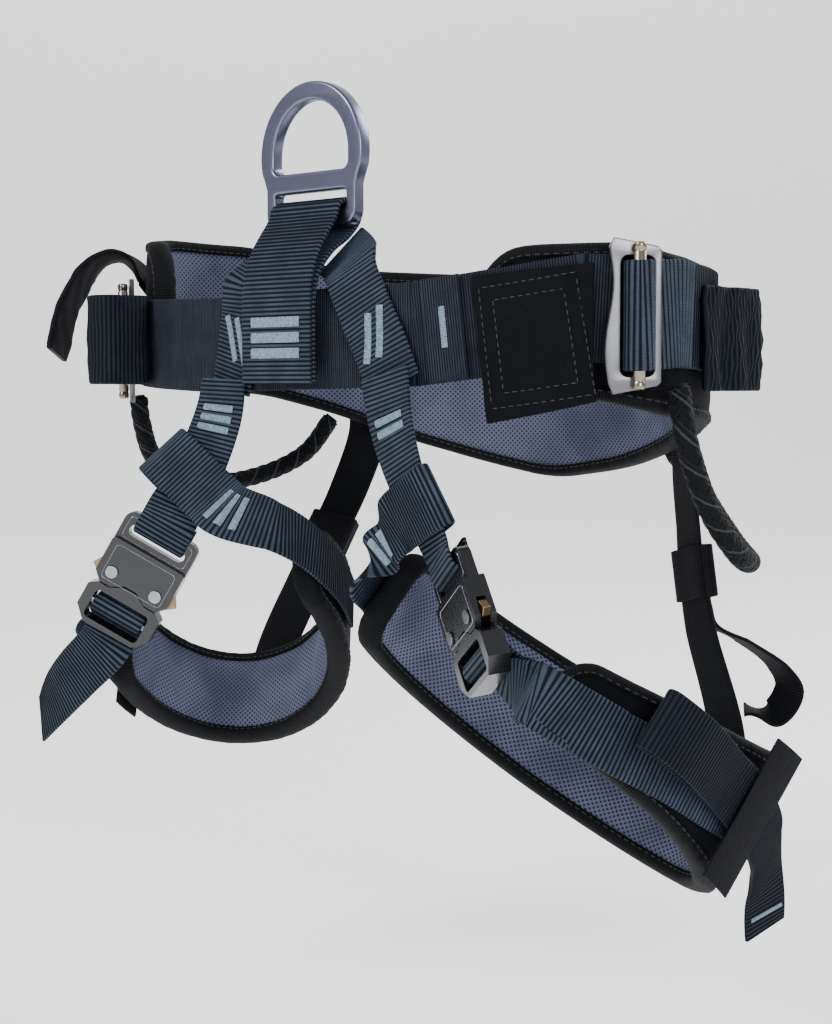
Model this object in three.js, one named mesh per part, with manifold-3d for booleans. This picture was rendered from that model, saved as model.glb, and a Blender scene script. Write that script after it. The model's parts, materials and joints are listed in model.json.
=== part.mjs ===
// A tree climbing saddle: a padded waist belt with a tie-in ring at the front, and two padded leg loops that hang
// from it. Millimetres. The origin is the middle of the waist belt, +Z is up, the wearer faces -Y and +X is the
// wearer's left. Belt and leg loops are built on tracks: a place is given by millimetres along the track (s),
// millimetres across it (w) and millimetres off it, away from the body (out).
import * as THREE from "three";
import { mergeVertices } from "three/addons/utils/BufferGeometryUtils.js";
import Module from "manifold-3d";

const wasm = await Module();
wasm.setup();

// Driving dimensions
const GAP = 0.4; // between pieces that touch
const GRID = 7.5; // degrees between the sections of a piece on a track
const BELT_HALF_WIDTH = 166; // of the waist opening, side to side
const BELT_FRONT_REACH = 60;
const BELT_BACK_REACH = 125;
const BELT_WEBBING = 45; // width of the belt and centre webbing
const LEG_WEBBING = 29; // width of the yoke and leg webbing
const RISER_WEBBING = 22; // width of the rear risers
const WEBBING = 2.2; // thickness
const THIN_WEBBING = 1.8; // thickness where it is threaded through a buckle
const BINDING = 6; // depth of the tape bound over a pad's edge
const PAD_LAYERS = {
  shell: [-2.0, -0.4],
  foam: [-8.3, -2.4],
  lining: [-10.3, -8.7],
  binding: [-10.8, -0.4],
};
const WAIST_PAD_ENDS = [36, 312]; // degrees round the belt from the front
const GEAR_CORD = 5; // radius
const RING = { axisZ: 54, y: -47, thick: 7, crownZ: 83.4, outer: 33, inner: 24.5, halfBase: 29, barHalf: 3.95 };
const ADJUSTER = { turn: { L: 73, R: -65 }, height: { L: 6.3, R: 1 }, out: 7.5, half: 10, barOut: 4.4 };
const BUCKLE = { half: 19, top: 30, shoulder: 15.5, bottom: -6.5, thick: 10, plate: 5.2, rivetX: 11.6 };
const TONGUE = { bottom: -27, barY: -17, headHalf: 7.6 };

const CLOTH = { slate: 0x2a323d, black: 0x14151a, mesh: 0x6f7690, elastic: 0x1b1c24 };
const METAL = { ring: 0x7c7f95, black: 0x15161b, steel: 0x8c8a92, brass: 0xa89c7c, bronze: 0x8a6b4a, silver: 0xb9bac2 };
const cloth = (color) => new THREE.MeshStandardMaterial({ color, roughness: 0.9, metalness: 0 });
const metal = (color) => new THREE.MeshStandardMaterial({ color, roughness: 0.35, metalness: 1 });
const coated = (color) => new THREE.MeshStandardMaterial({ color, roughness: 0.3, metalness: 0.4 });

const group = new THREE.Group();
const v = (x, y, z) => new THREE.Vector3(x, y, z);
const radians = THREE.MathUtils.degToRad;

function addPiece(name, geometry, material, parent = group) {
  const mesh = new THREE.Mesh(geometry, material);
  mesh.name = name;
  parent.add(mesh);
  return mesh;
}

// Joins a row of sections, each a list of corners, into one closed skin with its faces pointing out.
function loft(rings, looped = false) {
  const sides = rings[0].length;
  const corner = (ring, side) => (ring % rings.length) * sides + (side % sides);
  const faces = [];
  const spans = looped ? rings.length : rings.length - 1;
  for (let i = 0; i < spans; i++) {
    for (let k = 0; k < sides; k++) {
      const [a, b, c, d] = [corner(i, k), corner(i, k + 1), corner(i + 1, k + 1), corner(i + 1, k)];
      // A strap's two faces are cut along the same diagonal, so that it keeps its thickness where it twists.
      if (k < sides / 2) faces.push(a, b, c, a, c, d);
      else faces.push(a, b, d, b, c, d);
    }
  }
  if (!looped) {
    const last = rings.length - 1;
    for (let k = 1; k < sides - 1; k++) {
      faces.push(corner(0, 0), corner(0, k + 1), corner(0, k));
      faces.push(corner(last, 0), corner(last, k), corner(last, k + 1));
    }
  }
  const points = rings.flat();
  let volume = 0;
  for (let i = 0; i < faces.length; i += 3) {
    const [a, b, c] = faces.slice(i, i + 3).map((k) => points[k]);
    volume += a.dot(b.clone().cross(c));
  }
  if (volume < 0) faces.reverse();
  const geometry = new THREE.BufferGeometry();
  geometry.setAttribute("position", new THREE.Float32BufferAttribute(points.flatMap((p) => p.toArray()), 3));
  geometry.setIndex(faces);
  return geometry.toNonIndexed();
}

// A three.js geometry as a solid that can be joined and cut.
function solid(geometry, matrix = new THREE.Matrix4()) {
  const bare = geometry.clone().applyMatrix4(matrix);
  bare.deleteAttribute("normal");
  bare.deleteAttribute("uv");
  const merged = mergeVertices(bare, 1e-4);
  const vertProperties = merged.attributes.position.array;
  const triVerts = new Uint32Array(merged.index.array);
  return new wasm.Manifold(new wasm.Mesh({ numProp: 3, vertProperties, triVerts }));
}

function geometryOf(manifold) {
  const mesh = manifold.getMesh();
  const geometry = new THREE.BufferGeometry();
  geometry.setAttribute("position", new THREE.BufferAttribute(new Float32Array(mesh.vertProperties), 3));
  geometry.setIndex(new THREE.BufferAttribute(new Uint32Array(mesh.triVerts), 1));
  return geometry.toNonIndexed();
}

// A track: half an ellipse in front and half behind, with a fixed across direction.
class Track {
  constructor({ centre, first, second, up, front, back, side }) {
    Object.assign(this, { centre, first, second, up, front, back, side });
    this.lengths = [0];
    const steps = 720;
    for (let i = 1; i <= steps; i++) {
      const span = this.point(-180 + i / 2).distanceTo(this.point(-180 + (i - 1) / 2));
      this.lengths.push(this.lengths[i - 1] + span);
    }
    this.start = this.lengths[steps / 2];
  }
  reach(degrees) {
    return Math.cos(radians(degrees)) > 0 ? this.front : this.back;
  }
  point(degrees) {
    const a = radians(degrees);
    return this.centre
      .clone()
      .addScaledVector(this.first, this.reach(degrees) * Math.cos(a))
      .addScaledVector(this.second, this.side * Math.sin(a));
  }
  outward(degrees) {
    const a = radians(degrees);
    return v(0, 0, 0)
      .addScaledVector(this.first, Math.cos(a) / this.reach(degrees))
      .addScaledVector(this.second, Math.sin(a) / this.side)
      .normalize();
  }
  // Millimetres along the track from 0 degrees, and back again.
  along(degrees) {
    const place = (degrees + 180) * 2;
    const low = Math.min(Math.max(Math.floor(place), 0), this.lengths.length - 2);
    const span = this.lengths[low + 1] - this.lengths[low];
    return this.lengths[low] + span * (place - low) - this.start;
  }
  angle(s) {
    const wanted = s + this.start;
    let low = 0;
    while (low < this.lengths.length - 2 && this.lengths[low + 1] < wanted) low++;
    const part = (wanted - this.lengths[low]) / (this.lengths[low + 1] - this.lengths[low]);
    return (low + part) / 2 - 180;
  }
  at(degrees, w, out) {
    return this.point(degrees).addScaledVector(this.up, w).addScaledVector(this.outward(degrees), out);
  }
  place(s, w, out) {
    return this.at(this.angle(s), w, out);
  }
}

const blend = (x, knots) => {
  const next = Math.max(1, knots.findIndex(([at]) => at >= x));
  const [[x0, y0], [x1, y1]] = x >= knots.at(-1)[0] ? knots.slice(-2) : [knots[next - 1], knots[next]];
  return y0 + (y1 - y0) * THREE.MathUtils.clamp((x - x0) / (x1 - x0), 0, 1);
};

// The degrees, on a grid that every piece of a track shares, between two places along it.
function gridBetween(track, start, end) {
  const margin = 1;
  const first = Math.ceil(track.angle(start + margin) / GRID);
  const last = Math.floor(track.angle(end - margin) / GRID);
  return Array.from({ length: Math.max(0, last - first + 1) }, (_, i) => track.along((first + i) * GRID));
}

// The outline of a panel on a track, inset by so many millimetres, with rounded corners: stations of
// [millimetres along, lower edge, upper edge].
function outline(panel, inset) {
  const { track, from, to, low, high, radius } = panel;
  const start = track.along(from) + inset;
  const end = track.along(to) - inset;
  const round = radius - inset;
  const corner = [0, 0.08, 0.29, 0.62, 1].map((part) => part * round);
  const stations = [
    ...corner.map((c) => start + c),
    ...gridBetween(track, track.along(from) + radius, track.along(to) - radius),
    ...corner.map((c) => end - c).reverse(),
  ];
  return stations.map((s) => {
    const free = Math.max(round - Math.min(s - start, end - s), 0);
    const drop = inset + round - Math.sqrt(Math.max(round * round - free * free, 0));
    const degrees = track.angle(s);
    return [s, blend(degrees, low) + drop, blend(degrees, high) - drop];
  });
}

// One layer of a panel, between two distances off the track.
function layer(panel, inset, [inner, outer]) {
  const { track } = panel;
  return loft(
    outline(panel, inset).map(([s, low, high]) => [
      track.place(s, low, inner),
      track.place(s, high, inner),
      track.place(s, high, outer),
      track.place(s, low, outer),
    ]),
  );
}

// The tape bound over a panel's edge, all the way round.
function binding(panel, depth, [inner, outer]) {
  const { track } = panel;
  const walk = (inset) => {
    const stations = outline(panel, inset);
    return [
      ...stations.map(([s, low]) => [s, low]),
      ...stations.map(([s, , high]) => [s, high]).reverse(),
    ];
  };
  const edge = walk(0);
  const inside = walk(depth);
  return loft(
    edge.map(([s, w], i) => [
      track.place(s, w, inner),
      track.place(inside[i][0], inside[i][1], inner),
      track.place(inside[i][0], inside[i][1], outer),
      track.place(s, w, outer),
    ]),
    true,
  );
}

function addPad(names, panel) {
  const inset = BINDING + GAP;
  addPiece(names.shell, layer(panel, inset, PAD_LAYERS.shell), cloth(CLOTH.black));
  addPiece(names.foam, layer(panel, inset, PAD_LAYERS.foam), cloth(CLOTH.black));
  addPiece(names.lining, layer(panel, inset, PAD_LAYERS.lining), cloth(CLOTH.mesh));
  addPiece(names.binding, binding(panel, BINDING, PAD_LAYERS.binding), cloth(CLOTH.black));
}

// A flat piece lying on a track, such as webbing or a patch. Its ends can lean: millimetres along for each across.
function strip(track, { from, to, low, high, inner, thick = WEBBING, lean = 0 }) {
  const start = track.along(from);
  const end = track.along(to);
  const rings = [start, ...gridBetween(track, start, end), end].map((s) => {
    const degrees = track.angle(s);
    const bottom = blend(degrees, low);
    const top = blend(degrees, high);
    return [
      track.place(s + lean * bottom, bottom, inner),
      track.place(s + lean * top, top, inner),
      track.place(s + lean * top, top, inner + thick),
      track.place(s + lean * bottom, bottom, inner + thick),
    ];
  });
  return loft(rings);
}

// Webbing that runs free: a smooth line through the points, with its width along the across directions.
function ribbon(points, across, { width = LEG_WEBBING, thick = WEBBING, per = 3 } = {}) {
  const line = new THREE.CatmullRomCurve3(points, false, "centripetal");
  const spans = points.length - 1;
  const widths = points.map((_, i) => [i, Array.isArray(width) ? width[i] : width]);
  const rings = [];
  for (let i = 0; i <= spans * per; i++) {
    const u = i / (spans * per);
    const low = Math.min(Math.floor(u * spans), spans - 1);
    const side = across[low].clone().lerp(across[low + 1], u * spans - low);
    const forward = line.getTangent(u);
    side.addScaledVector(forward, -side.dot(forward)).normalize();
    const off = forward.cross(side).normalize();
    const middle = line.getPoint(u);
    const wide = blend(u * spans, widths) / 2;
    const place = (a, b) => middle.clone().addScaledVector(side, a * wide).addScaledVector(off, (b * thick) / 2);
    rings.push([place(-1, -1), place(1, -1), place(1, 1), place(-1, 1)]);
  }
  return loft(rings);
}

// A cord or wire of round section along a smooth line.
function cord(points, radius, sides = 8, steps = 24) {
  const section = new THREE.Shape(
    Array.from({ length: sides }, (_, i) => {
      const a = (2 * Math.PI * i) / sides;
      return new THREE.Vector2(radius * Math.cos(a), radius * Math.sin(a));
    }),
  );
  const extrudePath = new THREE.CatmullRomCurve3(points, false, "centripetal");
  return new THREE.ExtrudeGeometry(section, { steps, extrudePath });
}

function roundedBox(left, bottom, right, top, radius, Kind = THREE.Shape) {
  const shape = new Kind();
  shape.moveTo(left + radius, bottom);
  shape.lineTo(right - radius, bottom);
  shape.absarc(right - radius, bottom + radius, radius, -Math.PI / 2, 0, false);
  shape.absarc(right - radius, top - radius, radius, 0, Math.PI / 2, false);
  shape.absarc(left + radius, top - radius, radius, Math.PI / 2, Math.PI, false);
  shape.absarc(left + radius, bottom + radius, radius, Math.PI, 1.5 * Math.PI, false);
  return shape;
}

// A plate of a given thickness, centred on its own plane.
function plate(shape, depth, curveSegments = 3) {
  return new THREE.ExtrudeGeometry(shape, { depth, bevelEnabled: false, curveSegments }).translate(0, 0, -depth / 2);
}

const box = (x0, y0, z0, x1, y1, z1) =>
  new THREE.BoxGeometry(x1 - x0, y1 - y0, z1 - z0).translate((x0 + x1) / 2, (y0 + y1) / 2, (z0 + z1) / 2);

const rod = (radius, length, sides = 12) => new THREE.CylinderGeometry(radius, radius, length, sides);

// Waist belt
const belt = new Track({
  centre: v(0, 0, 0),
  first: v(0, -1, 0),
  second: v(1, 0, 0),
  up: v(0, 0, 1),
  front: BELT_FRONT_REACH,
  back: BELT_BACK_REACH,
  side: BELT_HALF_WIDTH,
});
const beltHeight = [[-180, 4], [-60, 0], [-20, -3], [25, 0], [60, 10], [110, 6], [180, 4]];
const beltLow = beltHeight.map(([at, z]) => [at, z - BELT_WEBBING / 2]);
const beltHigh = beltHeight.map(([at, z]) => [at, z + BELT_WEBBING / 2]);

function addWaistPad() {
  const panel = {
    track: belt,
    from: WAIST_PAD_ENDS[0],
    to: WAIST_PAD_ENDS[1],
    radius: 22,
    low: [
      [36, -24], [62, -28], [76, -32], [92, -35], [125, -42], [141, -53], [158, -64],
      [177, -71], [192, -64], [209, -53], [228, -37], [244, -27], [270, -24], [312, -22],
    ],
    high: [
      [36, 34], [45, 37], [70, 37.5], [100, 32], [115, 28], [150, 30],
      [180, 35], [199, 38], [225, 42], [246, 54], [270, 56], [300, 53], [312, 51],
    ],
  };
  // The pad crosses the back of the belt, so its track starts at the front and goes once round.
  const round = Object.create(belt);
  round.along = (degrees) => belt.along(degrees > 180 ? degrees - 360 : degrees) + (degrees > 180 ? 2 * belt.start : 0);
  round.angle = (s) => (s > belt.start ? belt.angle(s - 2 * belt.start) + 360 : belt.angle(s));
  round.place = (s, w, out) => belt.at(round.angle(s), w, out);
  panel.track = round;
  const names = { shell: "waist_pad_shell", foam: "waist_pad_foam", lining: "waist_pad_lining" };
  addPad({ ...names, binding: "waist_pad_binding" }, panel);
  addRearWebbing(round);
}

// The rear webbing: along the outside of the pad, and round each adjuster's bar to lie on itself.
function addRearWebbing(round) {
  const middle = [[73, 6.3], [90, 8], [110, 6], [180, 4], [270, 0], [295, 1]];
  const wrap = [
    [27, 4.1], [20, 4.1], [12, 4.1], [7.6, 4], [5.2, 4.9], [4.3, 7], [4.1, 11.9], [2.9, 14.8], [0, 16],
    [-2.9, 14.8], [-4.1, 11.9], [-4, 7], [-3.4, 4.6], [-1, 2.3], [3, 1.5], [9, 1.4],
  ];
  const place = (s, out) => round.place(s, blend(round.angle(s), middle), out);
  const left = round.along(ADJUSTER.turn.L);
  const right = round.along(360 + ADJUSTER.turn.R);
  const points = [
    ...wrap.map(([s, out]) => place(left + s, out)),
    ...gridBetween(round, left + 12, right - 12).map((s) => place(s, 1.4)),
    ...wrap.map(([s, out]) => place(right - s, out)).reverse(),
  ];
  const across = points.map(() => v(0, 0, 1));
  addPiece("rear_belt_webbing", ribbon(points, across, { width: BELT_WEBBING, per: 1 }), cloth(CLOTH.slate));
}

function addFrontBelt() {
  const low = beltLow;
  const high = beltHigh;
  addPiece("front_belt_webbing", strip(belt, { from: -60, to: 68, low, high, inner: 0 }), cloth(CLOTH.slate));
  const lap = { from: 28, to: 35, low, high, inner: WEBBING + GAP };
  addPiece("belt_lap_webbing", strip(belt, lap), cloth(CLOTH.slate));
  const panelLow = [[37, -38.5], [61, -28.5]];
  const panelHigh = [[37, 24], [61, 28]];
  const panel = { from: 38, to: 62, low: panelLow, high: panelHigh, inner: WEBBING + GAP, thick: 3.2, lean: -0.14 };
  addPiece("side_panel", strip(belt, panel), cloth(CLOTH.black));
}

// A frame of axes on the belt: x round the belt away from the front, y up, z away from the wearer.
function beltFrame(degrees, w, out) {
  const side = Math.sign(degrees);
  const z = belt.outward(degrees);
  const y = v(0, 0, 1);
  const x = y.clone().cross(z);
  const frame = new THREE.Group();
  frame.matrix.makeBasis(x, y, z).setPosition(belt.at(degrees, w, out));
  frame.matrix.decompose(frame.position, frame.quaternion, frame.scale);
  group.add(frame);
  frame.side = side;
  return frame;
}

// The belt adjuster: a steel frame with a wavy finger edge, and the bar that grips the webbing.
function addAdjuster(tag) {
  const { turn, height, out, half, barOut } = ADJUSTER;
  const frame = beltFrame(turn[tag], height[tag], out);
  const front = -frame.side;
  const shape = new THREE.Shape();
  const edge = (t) => half + 2 + 1.6 * Math.sin(t * Math.PI * 2);
  shape.moveTo(front * -half, -28);
  shape.lineTo(front * half, -32);
  for (let i = 0; i <= 8; i++) shape.lineTo(front * edge(i / 8), -28 + (56 * i) / 8);
  shape.lineTo(front * half, 32);
  shape.lineTo(front * -half, 28);
  shape.holes.push(roundedBox(-7, -24.5, 7, 24.5, 3, THREE.Path));
  addPiece(`adjuster_frame_${tag}`, plate(shape, 2.8), metal(METAL.steel), frame);
  const bar = addPiece(`adjuster_bar_${tag}`, rod(2.6, 60), metal(METAL.brass), frame);
  bar.position.set(0, 0, barOut);
}

// A belt tail folded into a roll that stands off the belt.
function addTailRoll(tag, degrees, height, offsets) {
  const points = offsets.map(([turn, out]) => belt.at(degrees + turn, height, out));
  const across = points.map(() => v(0, 0, 1));
  const shape = { width: BELT_WEBBING, thick: 2.6, per: 3 };
  addPiece(`belt_tail_roll_${tag}`, ribbon(points, across, shape), cloth(CLOTH.slate));
}

// The identity tab: a keeper strap over the tail roll with a blank sewn label.
function addIdTab() {
  const route = [[-84, 30, 3.4], [-81, 38, 7], [-75, 44, 14], [-69, 41, 25], [-64.5, 22, 38.5], [-62, -6, 46.5]];
  const points = route.map((place) => belt.at(...place));
  const across = points.map(() => v(0.48, -0.87, 0));
  addPiece("id_tab", ribbon(points, across, { width: 25, thick: 3, per: 2 }), cloth(CLOTH.elastic));
}

// Each gear loop's route: degrees round the belt, height, and millimetres off the belt.
const GEAR_ROUTE = {
  R: [
    [-76, -27.5, 6.6], [-77.5, -42, 5.5], [-84, -62, 2], [-99, -75, 0], [-114, -73, 1], [-126, -60, 4],
    [-132, -40, 6.6],
  ],
  L: [
    [87, -21.5, 6.6], [89, -45, 9], [95, -74, 12], [103, -94, 17], [113, -100, 18],
    [126, -95, 14], [136, -83, 12], [144, -68, 11], [150, -54, 8], [154, -40, 6.8],
  ],
};

function addGearLoop(tag, route) {
  const points = route.map(([degrees, height, out]) => belt.at(degrees, height, out));
  addPiece(`gear_loop_${tag}`, cord(points, GEAR_CORD, 8, 26), cloth(CLOTH.black));
}

// Tie-in ring: a D with a bar across it, its plane square to the wearer. Drawn in x and z.
function addTieInRing() {
  const { axisZ, crownZ, outer, inner, halfBase, barHalf } = RING;
  const base = axisZ - barHalf;
  const corner = 7;
  const shape = new THREE.Shape();
  shape.moveTo(-halfBase + corner, base);
  shape.lineTo(halfBase - corner, base);
  shape.absarc(halfBase - corner, base + corner, corner, -Math.PI / 2, 0, false);
  shape.lineTo(halfBase, crownZ - 15);
  shape.lineTo(outer - 1, crownZ - 8);
  shape.absarc(0, crownZ, outer, -0.2, Math.PI + 0.2, false);
  shape.lineTo(-halfBase, crownZ - 15);
  shape.absarc(-halfBase + corner, base + corner, corner, Math.PI, 1.5 * Math.PI, false);
  const eye = new THREE.Path();
  eye.moveTo(-inner + 4, crownZ - 8);
  eye.lineTo(inner - 4, crownZ - 8);
  eye.absarc(inner - 4, crownZ - 4, 4, -Math.PI / 2, 0, false);
  eye.absarc(0, crownZ, inner, 0, Math.PI, false);
  eye.absarc(-inner + 4, crownZ - 4, 4, Math.PI, 1.5 * Math.PI, false);
  shape.holes.push(eye, roundedBox(-23.5, axisZ + barHalf, 23.5, crownZ - 17, 2, THREE.Path));
  const geometry = plate(shape, RING.thick, 10).rotateX(Math.PI / 2);
  const ring = addPiece("tie_in_ring", geometry, metal(METAL.ring));
  ring.position.set(0, RING.y, 0);
}

// Centre strap: up the front, round the ring's lower bar and down again behind itself.
function addCentreStrap() {
  const { axisZ, y } = RING;
  const route = [
    [-71.3, -21], [-71.3, 2], [-71, 17], [-69.4, 29], [-64.6, 40],
    [y - 7.6, axisZ], [y - 5.4, axisZ + 5.4], [y, axisZ + 7.6], [y + 5.4, axisZ + 5.4], [y + 7.6, axisZ],
    [-45.6, 46], [-57.2, 38], [-65.6, 28], [-68.5, 17], [-68.7, 5], [-68.7, -20],
  ];
  const points = route.map(([depth, z]) => v(0, depth, z));
  const across = points.map(() => v(1, 0, 0));
  addPiece("centre_strap", ribbon(points, across, { width: BELT_WEBBING, per: 2 }), cloth(CLOTH.slate));
}

// Yoke straps: from behind the centre strap, across the belt, to the top of each leg's riser. Each route is
// degrees round the belt, height, and millimetres off the belt.
const YOKE = {
  R: [
    [-8.5, 41, -15], [-9.4, 34, -7], [-10.4, 28, 0], [-11, 24, 3.2], [-11.6, 10, 3.7], [-12.9, -6, 3.7],
    [-14.4, -24, 3.7],
  ],
  L: [
    [6.5, 38.5, -12], [10, 34.5, -6], [12.6, 30.5, 1], [13.6, 26, 3.8], [16, 12, 4.2], [19, -4, 4.2],
    [21.8, -22, 4.2],
  ],
};
const LEAN = { R: -0.25, L: 0.36 };

function addYokeStrap(tag) {
  const points = YOKE[tag].map((place) => belt.at(...place));
  const across = YOKE[tag].map(([degrees]) => v(0, 0, 1).cross(belt.outward(degrees)).add(v(0, 0, LEAN[tag])));
  addPiece(`yoke_strap_${tag}`, ribbon(points, across, { thick: THIN_WEBBING }), cloth(CLOTH.slate));
}

// Leg loops: two tilted ellipses, with the buckle's own axes on each.
const sideways = v(0.7314, 0.682, 0);
const LEGS = {
  R: {
    track: new Track({
      centre: v(-63.3, -45.4, -136.5),
      first: sideways,
      second: v(-0.53, 0.568, -0.63),
      up: v(-0.43, 0.461, 0.776),
      front: 60,
      back: 60,
      side: 84,
    }),
    pad: {
      from: -46,
      to: 174,
      radius: 18,
      low: [[-46, -20], [-10, -24], [60, -26], [172, -25]],
      high: [[-46, 20], [-10, 25], [60, 26], [172, 25]],
    },
    buckle: { at: v(-64, -102, -114), x: v(0.66, 0.56, -0.5), z: v(0.62, -0.78, -0.05) },
    riser: [v(-42, -65.9, -19), v(-42.5, -69, -35), v(-44, -76, -53), v(-46, -84.5, -69), v(-47.2, -91, -78)],
  },
  L: {
    track: new Track({
      centre: v(116, -8, -163),
      first: v(0.606, 0.565, -0.559),
      second: v(-0.645, 0.692, -0.326),
      up: v(0.206, 0.567, 0.797),
      front: 99,
      back: 99,
      side: 64,
    }),
    pad: {
      from: -95,
      to: 174,
      radius: 15,
      low: [[-100, -22], [-50, -26], [-15, -33], [20, -34], [90, -31], [172, -24]],
      high: [[-100, 10], [-80, 14], [-50, 23], [-15, 33], [20, 34], [90, 31], [172, 24]],
    },
    buckle: { at: v(110.2, -63.7, -122), x: v(0.757, -0.416, 0.5), z: v(-0.416, -0.9, -0.12) },
    riser: [v(61, -64.4, -17), v(66, -66, -36), v(73, -67, -54), v(80, -66.5, -69), v(85.5, -65, -80)],
  },
};

// The buckle's axes: x across it, y up along the strap, z out of its face.
function buckleFrame(leg) {
  const { at, x, z } = leg.buckle;
  const face = z.clone().normalize();
  const across = x.clone().addScaledVector(face, -x.dot(face)).normalize();
  const frame = new THREE.Group();
  frame.matrix.makeBasis(across, face.clone().cross(across), face).setPosition(at);
  frame.matrix.decompose(frame.position, frame.quaternion, frame.scale);
  group.add(frame);
  frame.across = across;
  frame.place = (a, b, c) => v(a, b, c).applyMatrix4(frame.matrix);
  return frame;
}

function buckleBody() {
  const { half, top, shoulder, bottom, thick, plate: thin, rivetX } = BUCKLE;
  const outer = (peak, radius) => {
    const shape = new THREE.Shape();
    shape.moveTo(-half + 4, bottom);
    shape.lineTo(-9, bottom);
    shape.quadraticCurveTo(0, bottom + 8, 9, bottom);
    shape.lineTo(half - 4, bottom);
    shape.lineTo(half, bottom + 4);
    shape.absarc(half - radius, peak - radius, radius, 0, Math.PI / 2, false);
    shape.absarc(-half + radius, peak - radius, radius, Math.PI / 2, Math.PI, false);
    shape.lineTo(-half, bottom + 4);
    return shape;
  };
  const cavity = box(-16.5, bottom - 3, -2.2, 16.5, 13.5, 2.2);
  const sides = box(-half - 2, -4.9, -2.2, half + 2, 5.2, 2.2);
  let body = solid(plate(outer(shoulder, 2), thick)).add(solid(plate(outer(top, 5), thin)));
  body = body.subtract(solid(plate(roundedBox(-14.5, 19, 14.5, 24.5, 2.6), 20)));
  body = body.subtract(solid(cavity)).subtract(solid(sides));
  for (const x of [-rivetX, rivetX]) {
    body = body.subtract(solid(rod(2.4, 20).rotateX(Math.PI / 2).translate(x, 0, 0)));
  }
  return geometryOf(body);
}

function buckleTongue() {
  const { half, bottom, thick } = BUCKLE;
  const { bottom: foot, barY, headHalf } = TONGUE;
  const shape = new THREE.Shape();
  const top = bottom - 0.5;
  shape.moveTo(-half + 6, foot);
  shape.lineTo(half - 6, foot);
  shape.lineTo(half, foot + 6);
  shape.lineTo(half, top - 3);
  shape.lineTo(half - 4, top);
  shape.lineTo(9.3, top);
  shape.quadraticCurveTo(0, top + 7.6, -9.3, top);
  shape.lineTo(-half + 4, top);
  shape.lineTo(-half, top - 3);
  shape.lineTo(-half, foot + 6);
  shape.holes.push(roundedBox(-14, barY - 7.5, 14, barY + 6.5, 2, THREE.Path));
  const head = new THREE.Shape();
  head.moveTo(-headHalf, top - 2);
  head.lineTo(headHalf, top - 2);
  head.lineTo(headHalf, 1);
  head.lineTo(headHalf - 3, 4);
  head.lineTo(-headHalf + 3, 4);
  head.lineTo(-headHalf, 1);
  const grooves = box(-16.2, barY - 4.2, -2.8, 16.2, barY + 4.2, 2.8);
  return geometryOf(solid(plate(shape, thick)).add(solid(plate(head, 3.6))).subtract(solid(grooves)));
}

function leverPlate(side) {
  const shape = new THREE.Shape();
  const corners = [
    [8.7, -2.6], [11.6, -4], [18.6, -3.6], [22.2, -1], [19.6, 3.2], [13.6, 4.4], [12.4, 10], [10, 10], [8.5, 3],
  ];
  corners.forEach(([x, y], i) => (i ? shape.lineTo(side * x, y) : shape.moveTo(side * x, y)));
  const eye = new THREE.Path();
  eye.absarc(side * BUCKLE.rivetX, 0, 2.4, 0, 2 * Math.PI, false);
  shape.holes.push(eye);
  return plate(shape, 3.4, 8);
}

// A rivet: a shaft with a flat head at each end.
function rivet() {
  const face = BUCKLE.thick / 2 + GAP;
  const end = face + 0.8;
  const profile = [[0, -end], [3, -end], [3, -face], [2, -face], [2, face], [3, face], [3, end], [0, end]];
  return new THREE.LatheGeometry(profile.map(([x, y]) => new THREE.Vector2(x, y)), 10).rotateX(Math.PI / 2);
}

function spring() {
  const turns = 5;
  const points = Array.from({ length: turns * 6 + 1 }, (_, i) => {
    const a = (i * Math.PI) / 3;
    return v(-9.2 + (18.4 * i) / (turns * 6), 8 + 1.5 * Math.cos(a), 1.5 * Math.sin(a));
  });
  return cord(points, 0.35, 5, turns * 8);
}

function addBuckle(tag, leg) {
  const frame = buckleFrame(leg);
  leg.frame = frame;
  addPiece(`buckle_body_${tag}`, buckleBody(), coated(METAL.black), frame);
  addPiece(`buckle_tongue_${tag}`, buckleTongue(), coated(METAL.black), frame);
  const bar = addPiece(`tongue_bar_${tag}`, rod(2.2, 31, 10), metal(METAL.silver), frame);
  bar.rotation.z = Math.PI / 2;
  bar.position.set(0, TONGUE.barY, 0);
  addPiece(`buckle_spring_${tag}`, spring(), metal(METAL.silver), frame);
  for (const [end, side] of [["inner", 1], ["outer", -1]]) {
    addPiece(`release_lever_${end}_${tag}`, leverPlate(side), metal(METAL.bronze), frame);
    const pin = addPiece(`buckle_rivet_${end}_${tag}`, rivet(), metal(METAL.silver), frame);
    pin.position.set(side * BUCKLE.rivetX, 0, 0);
  }
}

// The riser: from the yoke down to the buckle, through its slot and up behind.
function addLegRiser(tag, leg) {
  const { frame } = leg;
  const threaded = [
    [0, 34, 4.2], [0, 30, 4.3], [0, 25.8, 4.4], [0, 23, 3.2], [0, 21.8, 0], [0, 23, -3.2], [0, 25.8, -4.4],
    [0, 30, -4.3], [0, 34.5, -4.4],
  ];
  const points = [...leg.riser, ...threaded.map((p) => frame.place(...p))];
  const top = v(1, 0, LEAN[tag]);
  const across = points.map((_, i) => top.clone().lerp(frame.across, Math.min(1, i / 5)));
  const width = points.map((_, i) => LEG_WEBBING - 3 * Math.min(1, i / 3));
  addPiece(`leg_riser_${tag}`, ribbon(points, across, { width, thick: THIN_WEBBING, per: 2 }), cloth(CLOTH.slate));
}

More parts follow.
